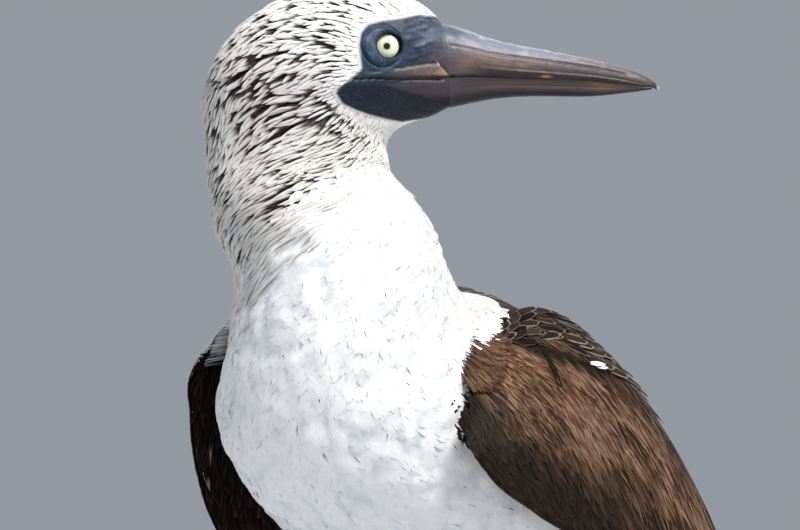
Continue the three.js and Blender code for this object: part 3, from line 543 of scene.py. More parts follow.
LIE = [(430, 15, -1, -0.25), (380, 8, -1, -0.12), (330, 12, -1, 0), (290, 20, -1, 0.22), (250, 42, -0.85, 0.55), (222, 75, -0.5, 0.85), (350, 40, -1, -0.08), (350, 60, -1, 0.1),
       (300, 55, -1, 0.10), (262, 80, -0.85, 0.5), (340, 78, -1, 0.2), (300, 95, -0.93, 0.36), (252, 112, -0.72, 0.7), (213, 120, -0.3, 0.95), (328, 102, -0.92, 0.4), (300, 128, -0.82, 0.56),
       (260, 150, -0.66, 0.75), (218, 170, -0.38, 0.92), (372, 128, -0.35, 0.94), (345, 150, -0.42, 0.9), (320, 168, -0.62, 0.78), (282, 190, -0.75, 0.66), (240, 200, -0.62, 0.78),
       (214, 212, -0.3, 0.95), (290, 216, -0.66, 0.75), (240, 250, -0.45, 0.9), (230, 285, -0.25, 0.97), (395, 150, -0.1, 1), (380, 165, -0.35, 0.94), (345, 115, -0.6, 0.8)]
def lie_of(P):
    u, w, z = head_uwz(P); a = b = 0; t = 1e-6
    for x, y, dx, dy in LIE:
        pu, pz = photo_mm(x, y); k = np.exp(-((u-pu)**2+(z-pz)**2)/(2*8.0**2))+1e-7; m = math.hypot(dx, dy); a = a+k*dx/m; b = b-k*dy/m; t = t+k
    return (a/t)[..., None]*R+(b/t)[..., None]*UP
lie_grid(main, lie_of(main.P), smooth(-26, -4, main.streak))

class Coat:
    """gathers vanes into meshes of less than 200,000 triangles"""
    def __init__(self, name, mat, soft=0.3):
        self.name, self.mat, self.soft, self.parts = name, mat, soft, []
    def add(self, V, C, vane, root_uv, N):
        """V, C, N (n, rows, across, 3); vane (n, rows, across, 2); root_uv (n, 2); N is the surface's own normal"""
        self.parts.append((V, C, vane, root_uv, N))
    def build(self, limit=190000):
        out, batch, tris = [], [], 0
        todo = []
        for V, C, vane, uv, N in self.parts:
            per = 2*(V.shape[1]-1)*(V.shape[2]-1); step = max(1, limit//per); i = 0
            while i < len(V):
                take = min(len(V)-i, max(1, (limit-tris)//per))
                batch.append((V[i:i+take], C[i:i+take], vane[i:i+take], uv[i:i+take], N[i:i+take])); tris += take*per; i += take
                if tris > limit-per: todo.append(batch); batch, tris = [], 0
        if batch: todo.append(batch)
        for k, b in enumerate(todo):
            Vs, Cs, U1, U2, Q, Ns, off = [], [], [], [], [], [], 0
            for V, C, vane, uv, N in b:
                n, r, a = V.shape[:3]
                Vs.append(V.reshape(-1, 3)); Cs.append(C.reshape(-1, 3)); U1.append(vane.reshape(-1, 2))
                patch = uv[:, None, None, :]+(vane-0.5)*0.0028
                U2.append(np.clip(patch, 0.0005, 0.9995).reshape(-1, 2))
                G = np.cross(np.gradient(V, axis=2), np.gradient(V, axis=1)); G /= np.linalg.norm(G, axis=-1, keepdims=True)+1e-9
                side = np.where((G*N).sum(-1) < 0, -1.0, 1.0)[..., None]
                M = G*side*(1-self.soft)+N*self.soft; M /= np.linalg.norm(M, axis=-1, keepdims=True)+1e-9; Ns.append(M.reshape(-1, 3))
                g = grid_quads(r, a, False); Vf, Nf = V.reshape(n, -1, 3), N.reshape(n, -1, 3)
                away = (np.cross(Vf[:, g[:, 2]]-Vf[:, g[:, 0]], Vf[:, g[:, 3]]-Vf[:, g[:, 1]])*(Nf[:, g[:, 0]]+Nf[:, g[:, 2]])).sum(-1) < 0
                g = np.where(away[..., None], g[None, :, ::-1], g[None])
                Q.append((g+(off+np.arange(n)*r*a)[:, None, None]).reshape(-1, 4)); off += n*r*a
            o = mesh_object(f'{self.name}_{k+1}', np.concatenate(Vs), np.concatenate(Q), np.concatenate(Cs),
                            {'OFBake': np.concatenate(U2), 'Vane': np.concatenate(U1)}, self.mat, normals=np.concatenate(Ns))
            o.data.uv_layers.active = o.data.uv_layers['OFBake']
            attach(o, 'root'); out.append(o)
        self.objects = out
        return out

def vanes(S, s0, f0, rng, length, width, alpha, depth, rows=4, across=3, sway=0.0, bend=0.0, tip=0.15, tip_pow=1.0, base_w=0.35,
          camber=0.25, lift=1.0, ragged=0.0, over=0.0, rise=1.6, belly=0.45, jitter_h=0.25, sink=0.0, soft_edges=0.0, flat=0.0, follow=False):
    """vanes rooted at (s0, f0) that follow the surface; length, width, alpha, depth are per feather"""
    n = len(s0)
    length, width, alpha, depth, sway, bend = [np.broadcast_to(np.asarray(v, float), (n,)) for v in (length, width, alpha, depth, sway, bend)]
    over = np.broadcast_to(np.asarray(over, float), (n,))
    ms, mf = np.maximum(S.at(s0, f0, 'ms'), 0.05), np.maximum(S.at(s0, f0, 'mf'), 0.05)
    x = np.linspace(0, 1, rows+1)
    y = np.linspace(-1, 1, across)
    # width along the vane: narrow root, widest past the middle, drawn to a tip
    w = np.where(x < belly, base_w+(1-base_w)*np.sin(np.minimum(x/belly, 1)*pi/2), np.maximum(1-np.maximum((x-belly)/(1-belly), 0)**(2.0/tip_pow), 0)**0.5*(1-tip)+tip)
    X = np.repeat(x[None, :, None], n, 0)*np.ones((1, 1, across)); Y = np.ones((n, rows+1, 1))*y[None, None]
    if ragged:
        X = X+ragged*(rng.random((n, 1, across))-0.7)*np.clip(X-0.35, 0, 1)*1.6
        X = X-0.10*np.abs(Y)**2*np.clip(X-0.5, 0, 1)
    a = alpha[:, None, None]
    L = length[:, None, None]
    side_off = (sway[:, None, None]*np.sin(pi*X)+bend[:, None, None]*X*X)*L
    across_mm = Y*w[None, :, None]*width[:, None, None]/2+side_off
    along_mm = X*L
    ds = (along_mm*np.cos(a)-across_mm*np.sin(a))/ms[:, None, None]
    df = (along_mm*np.sin(a)+across_mm*np.cos(a))/mf[:, None, None]
    s, f = s0[:, None, None]+ds, f0[:, None, None]+df
    if follow:
        # the middle line of each vane runs on along the lie
        cs, cf, cg = [s0], [f0], []
        for i in range(rows):
            g = np.arctan2(S.at(cs[-1], cf[-1], 'sa'), S.at(cs[-1], cf[-1], 'ca'))+alpha+bend*x[i]*1.6+sway*math.cos(pi*x[i])*2.6; cg.append(g); st = length*(x[i+1]-x[i])
            m1, m2 = np.maximum(S.at(cs[-1], cf[-1], 'ms'), 0.05), np.maximum(S.at(cs[-1], cf[-1], 'mf'), 0.05)
            cs.append(cs[-1]+st*np.cos(g)/m1); cf.append(cf[-1]+st*np.sin(g)/m2)
        cg.append(cg[-1]); cs, cf, cg = np.stack(cs, 1), np.stack(cf, 1), np.stack(cg, 1)
        i = np.clip((X*rows).astype(int), 0, rows-1); t = X*rows-i
        take = lambda A, j: np.take_along_axis(A, j.reshape(n, -1), 1).reshape(X.shape)
        sc, fc, g = take(cs, i)*(1-t)+take(cs, i+1)*t, take(cf, i)*(1-t)+take(cf, i+1)*t, take(cg, i)
        wide = Y*w[None, :, None]*width[:, None, None]/2
        s = sc-wide*np.sin(g)/np.maximum(S.at(sc, fc, 'ms'), 0.05); f = fc+wide*np.cos(g)/np.maximum(S.at(sc, fc, 'mf'), 0.05)
    P, N = S.at(s, f), S.at(s, f, 'N')
    dd = depth[:, None, None]
    jit = rng.random((n, 1, 1))*jitter_h
    h = -dd*(1-jit)*(1-np.clip(X*rise, 0, 1)**0.8)*1.0-0.06-camber*(Y*Y)*w[None, :, None]*lift*np.clip(dd, 0.15, 2)-dd*jit*0.8-sink+over[:, None, None]*X
    if soft_edges: h = h+soft_edges*(rng.random(h.shape)-0.5)*dd*X
    if flat:
        # quickly up from the skin, then close along the surface to the tip
        top = np.minimum(flat, dd)
        h = -(dd-top)*(1-np.clip(X/0.24, 0, 1)**0.7)-top*(1-X)-0.04-camber*(Y*Y)*w[None, :, None]*0.6-jit*0.5-sink+over[:, None, None]*X
    V = P+N*h[..., None]; vanes.N = N
    vane = np.stack([(Y+1)/2, X], -1)
    return V, X, Y, vane, s, f

def flat_uv(S, s0, f0, lo=(0.0, 0.0), hi=(1.0, 1.0)):
    u, v = s0/(S.ns-1), (np.mod(f0, S.nf) if S.closed else f0)/(S.nf-(0 if S.closed else 1))
    return np.stack([0.01+0.98*(lo[0]+u*(hi[0]-lo[0])), 0.01+0.98*(lo[1]+v*(hi[1]-lo[1]))], -1)

def scatter(S, rng, spacing_s, spacing_f, s_range=None, stagger=True):
    """roots in staggered rows; spacings are functions of (s) in mm or numbers"""
    s_lo, s_hi = s_range or (0, S.ns-1.001)
    out_s, out_f = [], []
    s, k = s_lo, 0
    col = np.arange(S.nf, dtype=float)
    while s < s_hi:
        ms = float(np.mean(S.at(np.full(S.nf, s), col, 'ms')))
        mf = S.at(np.full(S.nf, s), col, 'mf'); per = float(np.sum(mf))
        sp_f = spacing_f(s) if callable(spacing_f) else spacing_f
        n = max(3, int(per/sp_f))
        c = np.concatenate([[0], np.cumsum(mf)]); want = (np.arange(n)+0.5*(k % 2)+0.35*(rng.random(n)-0.5))/n*c[-1]
        f = np.interp(np.mod(want, c[-1]) if S.closed else np.clip(want, 0, c[-1]), c, np.arange(len(c)))
        sp_s = spacing_s(s) if callable(spacing_s) else spacing_s
        out_s.append(s+(rng.random(n)-0.5)*sp_s/max(ms, 0.3)*0.7); out_f.append(f)
        s += sp_s/max(ms, 0.2); k += 1
    s, f = np.concatenate(out_s), np.concatenate(out_f)
    return np.clip(s, 0, S.ns-1.001), f

FLESH = ['head', 'neck', 'trunk', 'leg_left', 'leg_right', 'wing_left', 'wing_right', 'tail']
mat_small = feather_material('small_feathers', rough=0.8, streak=0.10, barb=9.0, spec=0.15, sheen=0.15)
mat_white = feather_material('white_feathers', rough=0.9, streak=0.03, barb=9.0, spec=0.08, sheen=0.2)
mat_brown = feather_material('brown_feathers', rough=0.62, streak=0.55, barb=5.0, spec=0.12)
mat_dark = feather_material('dark_feathers', rough=0.85, streak=0.4, barb=5.0, spec=0.05)
mat_flight = feather_material('flight_feathers', rough=0.5, streak=0.20, barb=60.0, spec=0.35)

wing_tree = kdtree.KDTree(2*48*80)
for sd in (1, -1):
    W = wing_out[sd]
    for i in np.linspace(10, WNS-14, 80).astype(int):
        for j in np.linspace(14, WNQ-10, 48).astype(int):
            wing_tree.insert(Vector(W.P[i, j]), 0)
wing_tree.balance()
def under_wing(P, reach=15.0):
    return np.array([wing_tree.find(Vector(p))[2] < reach for p in P])

# the far wing's leading edge beside the breast, as a line in the head's own plane; its dark brown is painted near
# black here as shade
DARK_LINE = outline((196, 352), (202, 359), (211, 386), (218, 418), (231, 443), (243, 464), (253, 493), (266, 530), (285, 572), (318, 620))
def dark_side(P):
    """positive on the wing's side of the line, on the far half of the body, in mm"""
    u, z = P@R, P[..., 2]; k = 1-(P@K)/3020.0
    U, Z = 9.87+(u-9.87)/k, 313.57+(z-313.57)/k
    edge = np.interp(Z, DARK_LINE[::-1, 1], DARK_LINE[::-1, 0])
    return np.where((P[..., 0] < 20) & (Z < 273), edge-U, -99.0)

def coat_head():
    rng = np.random.default_rng(11)
    k6, k9, k12 = knot_at(6), knot_at(9), knot_at(12)
    T = lambda s: s/(NS-1)*KN[-1]
    size = lambda s: 6.6+5.4*smooth(0, k6, T(s))+3.0*smooth(k6, k12+20, T(s))
    s, f = scatter(main, rng, lambda s: 0.42*size(s), lambda s: 0.62+0.070*size(s), (0, knot_at(15.2)/KN[-1]*(NS-1)))
    s = s+0.6*rng.normal(size=len(s)); s = np.clip(s, 0, NS-1.01)
    # a second, closer set round the edge of the bare skin
    s2, f2 = scatter(main, rng, 1.7, 1.15, (0, knot_at(6.5)/KN[-1]*(NS-1))); fd2 = main.at(s2, f2, 'fd')
    k2 = (fd2 > -0.1) & (fd2 < 5.5) & (rng.random(len(s2)) < 0.55+0.45*smooth(5, 1, fd2)); s, f = np.concatenate([s, s2[k2]]), np.concatenate([f, f2[k2]]); edge_set = np.concatenate([np.zeros(len(s)-k2.sum(), bool), np.ones(k2.sum(), bool)])
    fd = main.at(s, f, 'fd'); st = main.at(s, f, 'streak'); br = main.at(s, f, 'brown')
    P = main.at(s, f); Tt = T(s)
    keep = (fd > -0.1) & (st > -16) & (br < 0.5)
    keep &= rng.random(len(s)) < np.where(st < 0, np.exp(st/9.0), 1.0)
    s, f, fd, st, P, Tt, edge_set = s[keep], f[keep], fd[keep], st[keep], P[keep], Tt[keep], edge_set[keep]
    n = len(s); u, w, z = head_uwz(P)
    near = 1-smooth(0, 10, fd)
    L = size(s)*(0.85+0.45*rng.random(n))*(0.34+0.66*smooth(0, 9, fd)); L = np.where(edge_set, 3.4+0.6*np.clip(fd, 0, 6)+1.0*rng.random(n), L)
    nape = smooth(knot_at(3.6), knot_at(7.5), Tt)*(0.5+0.5*smooth(-20, 30, st))
    wave = (0.26*value_noise(P, 13.0, 51)+0.16*value_noise(P, 6.0, 52)+0.12*value_noise(P, 30.0, 53))*(0.6+0.5*nape)
    alpha = wave*(1-0.6*near)+0.07*rng.normal(size=n)
    white = np.maximum(smooth(424, 431, z+2*value_noise(P, 6, 64))*smooth(-16, -2, u), near*smooth(-2, 8, z-405)*0.8)
    # dark feathers between the pale locks, in drawn-out rows, more on the nape
    cell = 0.45*value_noise(P, 7, 62)+0.55*rng.random(n)
    open_ = smooth(-6, 16, st); throat = np.exp(-(((u+18)/13)**2+((z-378)/9)**2)*0.7)*(w > 0)
    dark = (cell > (0.66-0.14*nape+1.2*white+0.5*near+0.5*(1-open_)+0.5*throat)) & ~edge_set
    W = (0.95+0.110*size(s))*(0.62+0.38*smooth(0, 12, fd))*(0.85+0.3*rng.random(n)); W = np.where(edge_set, 1.35, W)
    # each draws its tip towards the nearest lock
    gs, gf = scatter(main, rng, lambda s: 0.62*size(s), lambda s: 0.30*size(s), (0, knot_at(15.2)/KN[-1]*(NS-1))); GP = main.at(gs, gf)
    tree = kdtree.KDTree(len(GP)); [tree.insert(Vector(q), i) for i, q in enumerate(GP)]; tree.balance()
    near_g = np.array([tree.find(Vector(q))[1] for q in P]); g0 = np.arctan2(main.at(s, f, 'sa'), main.at(s, f, 'ca'))
    es = main.at(s+0.5, f)-main.at(s-0.5, f); ef = main.at(s, f+0.5)-main.at(s, f-0.5); es /= np.linalg.norm(es, axis=1)[:, None]+1e-9; ef /= np.linalg.norm(ef, axis=1)[:, None]+1e-9
    lat = ((GP[near_g]-P)*(ef*np.cos(g0)[:, None]-es*np.sin(g0)[:, None])).sum(1)
    draw = np.clip(lat/L, -0.3, 0.3)*(1-near)*(~edge_set)*0.9
    D = main.at(s, f, 'depth')
    up = 0.5*nape*rng.random(n)+0.7*nape*(rng.random(n) < 0.12)
    V, X, Y, vane, _, _ = vanes(main, s, f, rng, L, W, alpha, D, rows=6, across=5, sway=0.05*rng.normal(size=n)+0.10*value_noise(P, 8, 54), bend=0.06*rng.normal(size=n)+1.1*draw,
                                tip=0.04, tip_pow=1.2, base_w=0.45, camber=0.55, belly=0.40, jitter_h=0.34, sink=np.where(dark, 0.25*np.clip(D, 0, 2.6), 0.0)[:, None, None], over=np.where(dark, 0, up), follow=True)
    pale = mix(np.broadcast_to(lin(238, 237, 235), (n, 3)), lin(205, 200, 192), 0.8*rng.random(n)*smooth(knot_at(2.5), knot_at(8), Tt)*(1-white))
    # painted shade: the pale locks turn bluish grey at the back of the head and down the nape
    painted_nape_shade = smooth(0.0, 0.7, value_noise(P, 22, 55))*smooth(412, 392, z)*smooth(-6, -24, u)*0.30+0.25*nape
    pale = mix(pale, lin(162, 164, 170), painted_nape_shade*(1-white))
    shade = 0.35+0.65*nape
    root = mix(np.broadcast_to(lin(28, 19, 14), (n, 3)), pale, np.clip(0.70*near+0.80*white+0.95*(1-open_), 0, 1))
    dk = mix(np.broadcast_to(lin(26, 17, 13), (n, 3)), lin(58, 37, 25), rng.random(n)**2*0.8)
    side = mix(dk, pale, np.clip(0.15+0.75*white+0.6*near+0.9*(1-open_)+0.25*rng.random(n)*(1-shade), 0, 1))
    start = (0.24+0.16*nape-0.16*near-0.20*white+0.08*rng.normal(size=n)*nape-0.12*(1-open_))[:, None, None]
    C = mix(root[:, None, None], pale[:, None, None], np.clip((X-0.12*np.abs(Y)-start)/0.10, 0, 1))
    C = mix(C, side[:, None, None], smooth(0.60, 0.95, np.abs(Y)+0.10*np.sin(X*9)[...])*smooth(0.95, 0.50, X)*(0.40+0.45*shade)[:, None, None])
    warm = rng.random(n)*nape
    C = mix(C, lin(150, 112, 84), np.exp(-((np.abs(Y)-0.62)/0.2)**2)*0.30*warm[:, None, None])
    dkc = dk[:, None, None]*np.ones_like(C)
    dkc = mix(dkc, lin(150, 132, 112), smooth(0.92, 1.0, X)*0.4)
    whitening = smooth(-2, -14, st)[:, None, None]
    dkc = mix(dkc, lin(225, 222, 216), whitening*np.ones_like(X)*0.80)
    C = np.where(dark[:, None, None, None], dkc, C)
    c = Coat('coat_head_neck', mat_small, 0.35); c.add(V, C, vane, flat_uv(main, s, f), vanes.N); c.build(); return n

BREAST_LINE = outline((480, 297), (492, 308), (504, 321), (498, 335), (480, 351), (472, 369), (467, 394), (463, 419), (458, 427), (464, 449))
def past_breast(P):
    """how far a place of the near side lies past the breast's edge, over the wing, in mm"""
    u, w, z = P@R, P@K, P[..., 2]; k = 1-w/3020.0
    U, Z = 9.87+(u-9.87)/k, 313.57+(z-313.57)/k
    return np.where((P[..., 0] > 25) & (Z > 231) & (Z < 290), U-np.interp(Z, BREAST_LINE[::-1, 1], BREAST_LINE[::-1, 0]), -99.0)
def covert_brown(P, rng):
    n = len(P); b = mix(np.broadcast_to(lin(50, 33, 23), (n, 3)), lin(118, 88, 66), rng.random(n)**1.4)
    # painted shade: near black towards the bottom of the wing
    return mix(b, lin(18, 11, 9), smooth(262, 246, P[:, 2]+5*value_noise(P, 9, 88))*0.95)
def coat_body():
    rng = np.random.default_rng(12)
    T = lambda s: s/(NS-1)*KN[-1]
    size = lambda s: 9.0+4.5*smooth(knot_at(10.5), knot_at(15), T(s))+3*smooth(knot_at(17), knot_at(20), T(s))-4*smooth(knot_at(21), knot_at(23), T(s))
    soft = soft_surf()
    s, f = scatter(main, rng, lambda s: 0.20*size(s), lambda s: 0.24*size(s), (knot_at(9.0)/KN[-1]*(NS-1), NS-1.01))
    s = np.clip(s+0.5*rng.normal(size=len(s)), 0, NS-1.01); f = f+0.4*rng.normal(size=len(s))
    st, br = main.at(s, f, 'streak'), main.at(s, f, 'brown'); P, N = main.at(s, f), main.at(s, f, 'N')
    dark = dark_side(P)
    keep = (st+5*rng.normal(size=len(s)) < 4) & (main.at(s, f, 'fd') > 1) & (~under_wing(P, 7.0))
    s, f, st, br, P, N, dark = s[keep], f[keep], st[keep], br[keep], P[keep], N[keep], dark[keep]
    n = len(s); D = main.at(s, f, 'depth')
    brown = br+0.18*rng.normal(size=n)*(br > 0.02)*(br < 0.98) > 0.5
    far = (dark+1.2*rng.normal(size=n) > -0.5) & (P[:, 2] > 186); far[far] = under_wing(P[far], 19.0)
    L = size(s)*(0.85+0.5*rng.random(n)); W = 0.46*size(s)*(0.8+0.4*rng.random(n))
    alpha = 0.20*value_noise(P, 26, 71)+0.14*value_noise(P, 11, 75)+0.08*rng.normal(size=n)
    wm = ~brown & ~far; W = np.where(past_breast(P) > -5, 0.42*W, W)
    Cw = Coat('coat_white', mat_white, 0.8)
    m = int(wm.sum())
    V, X, Y, vane, _, _ = vanes(soft, s[wm], f[wm], rng, L[wm], W[wm], alpha[wm], soft.at(s[wm], f[wm], 'depth'), rows=4, across=6, camber=0.03, ragged=0.14, jitter_h=0.06,
                                tip=0.30, tip_pow=1.15, base_w=0.35, belly=0.42, flat=0.28, sway=0.05*rng.normal(size=m))
    b = mix(np.broadcast_to(lin(243, 243, 243), (m, 3)), lin(236, 237, 239), rng.random(m))
    # a few cream and rusty tips by the shoulder
    su, sw, sz = head_uwz(P[wm]); nearshoulder = np.exp(-((su-46)/10)**2-((sz-300)/8)**2)
    b = mix(b, lin(214, 160, 112), (nearshoulder*(rng.random(m) < 0.45)*0.65))
    dirty = smooth(0.35, 0.8, value_noise(P[wm], 14, 73))*smooth(20, 80, P[wm][:, 1])
    b = mix(b, lin(222, 212, 196), 0.3*dirty)
    PM = V[:, 3, 2]; b = np.where((past_breast(PM)+0.5*rng.normal(size=m) > 0)[:, None], covert_brown(PM, rng), b)
    C = mix(b[:, None, None]*0.97, b[:, None, None], smooth(0.2, 0.8, X))
    # painted shade: the white feathers take a cool grey in the valleys between the breast's lumps
    amp = 0.30+2.6*smooth(350, 322, V[..., 2]); hill = 1-(lump_off(V)-0.10)/amp
    C = C*(1-(smooth(0.50, 0.08, hill)*smooth(0.3, 1.6, amp)*smooth(40, 20, V[..., 1]))[..., None]*np.array([0.19, 0.165, 0.135]))
    Cw.add(V, C, vane, flat_uv(main, s[wm], f[wm]), vanes.N); Cw.build()
    # brown mantle and back: darker centre, pale edge; larger and glossy between the shoulders
    Cb = Coat('coat_mantle', mat_brown, 0.35)
    gloss = smooth(60, 30, P[:, 1]+4*value_noise(P, 12, 78))
    pick = brown & (rng.random(n) < np.where(gloss > 0.5, 0.42, 0.80)); m = int(pick.sum()); g = gloss[pick]
    V, X, Y, vane, _, _ = vanes(main, s[pick], f[pick], rng, L[pick]*(1.25+0.35*g), W[pick]*(1.05+0.35*g), alpha[pick], D[pick], rows=6, across=7, camber=0.42, ragged=0.05,
                                jitter_h=0.22, tip=0.22, base_w=0.5, belly=0.5, over=0.9*g)
    b = mix(np.broadcast_to(UMBER, (m, 3)), BROWN, rng.random(m))
    b = mix(b, GREYB, 0.20*rng.random(m)); b = mix(b, lin(34, 29, 30), 0.8*g)
    e = np.maximum(smooth(0.72, 0.98, np.abs(Y))*smooth(0.2, 0.6, X), smooth(0.86, 0.98, X))
    C = mix(b[:, None, None]*np.ones_like(V), mix(np.broadcast_to(PALE_EDGE, (m, 3)), lin(176, 170, 168), g)[:, None, None], np.clip(e*(0.35+0.5*rng.random((m, 1, 1))+0.15*g[:, None, None]), 0, 1))
    Cb.add(V, C, vane, flat_uv(main, s[pick], f[pick]), vanes.N)
    # small feathers where the far wing's edge meets the breast: dark brown painted near black as shade, with a few
    # pale flecks
    m = int(far.sum())
    if m:
        V, X, Y, vane, _, _ = vanes(soft, s[far], f[far], rng, L[far]*0.95, W[far]*0.85, alpha[far], soft.at(s[far], f[far], 'depth'), rows=4, across=5, camber=0.1, ragged=0.12, jitter_h=0.2, tip=0.12, base_w=0.3, flat=0.3, sink=0.3)
        Cd = Coat('coat_side_dark', mat_dark, 0.5)
        b = mix(np.broadcast_to(lin(14, 11, 10), (m, 3)), lin(30, 22, 18), rng.random(m)); b = mix(b, lin(128, 116, 106), ((value_noise(P[far]*np.array([1, 1, 0.4]), 5, 79) > 0.45)*0.75*rng.random(m)))
        Cd.add(V, b[:, None, None]*np.ones_like(V), vane, flat_uv(main, s[far], f[far]), vanes.N); Cd.build()
    Cb.build()
    return n

def big_vane(S, t0, q0, t1, q1, width, layer, rng, colour, rows=14, across=9, tip=0.12, pointed=1.0, edge=0.5, edge_col=PALE_EDGE, bow=0.0, root_w=0.5):
    """one long feather laid between two places of the wing, given as shares of its length and -1..1 across"""
    x = np.linspace(0, 1, rows+1); y = np.linspace(-1, 1, across)
    t = t0+(t1-t0)*x; q = q0+(q1-q0)*x+bow*np.sin(pi*x)
    s = t*(S.ns-1); f = (q+1)/2*(S.nf-1)
    mf = np.maximum(S.at(s, np.clip(f, 0, S.nf-1.001), 'mf'), 0.02)
    w = np.where(x < 0.45, root_w+(1-root_w)*np.sin(np.minimum(x/0.45, 1)*pi/2), np.maximum(1-np.maximum((x-0.45)/0.55, 0)**(2.2/pointed), 0)**0.5*(1-tip)+tip)
    F = f[:, None]+y[None]*(w*width/2/mf)[:, None]
    lo, hi = 0.6, S.nf-1.6
    F = np.where(F < lo, lo+(F-lo)*0.02, np.where(F > hi, hi+(F-hi)*0.02, F)); F = np.clip(F, 0.02, S.nf-1.02)
    Sg = np.repeat(s[:, None], across, 1)+0.0
    X = np.repeat(x[:, None], across, 1); Y = np.repeat(y[None], rows+1, 0)
    P, N = S.at(Sg, F), S.at(Sg, F, 'N'); th = S.at(Sg, F, 'th')
    unit = np.minimum(4.2, 0.46*th)
    h = -unit*layer-0.10*unit*(1-X)-0.07*unit*np.abs(Y)**2+0.05*unit*np.exp(-(Y/0.08)**2)
    V = P+N*h[..., None]
    c = np.asarray(colour)*np.ones(V.shape)
    e = np.clip(np.maximum(smooth(0.84, 0.97, np.abs(Y))*smooth(0.15, 0.4, X), smooth(0.955, 0.99, X)), 0, 1)*edge
    c = mix(c*(0.88+0.22*X[..., None]), edge_col, e)
    c = mix(c, c*1.5+0.02, np.exp(-(Y/0.07)**2)*0.35*(1-X))
    vane = np.stack([(Y+1)/2, X], -1)
    uv = np.stack([0.01+0.98*t0, 0.01+0.98*(q0+1)/2], -1)
    return V[None], c[None], vane[None], np.array([uv]), N[None]

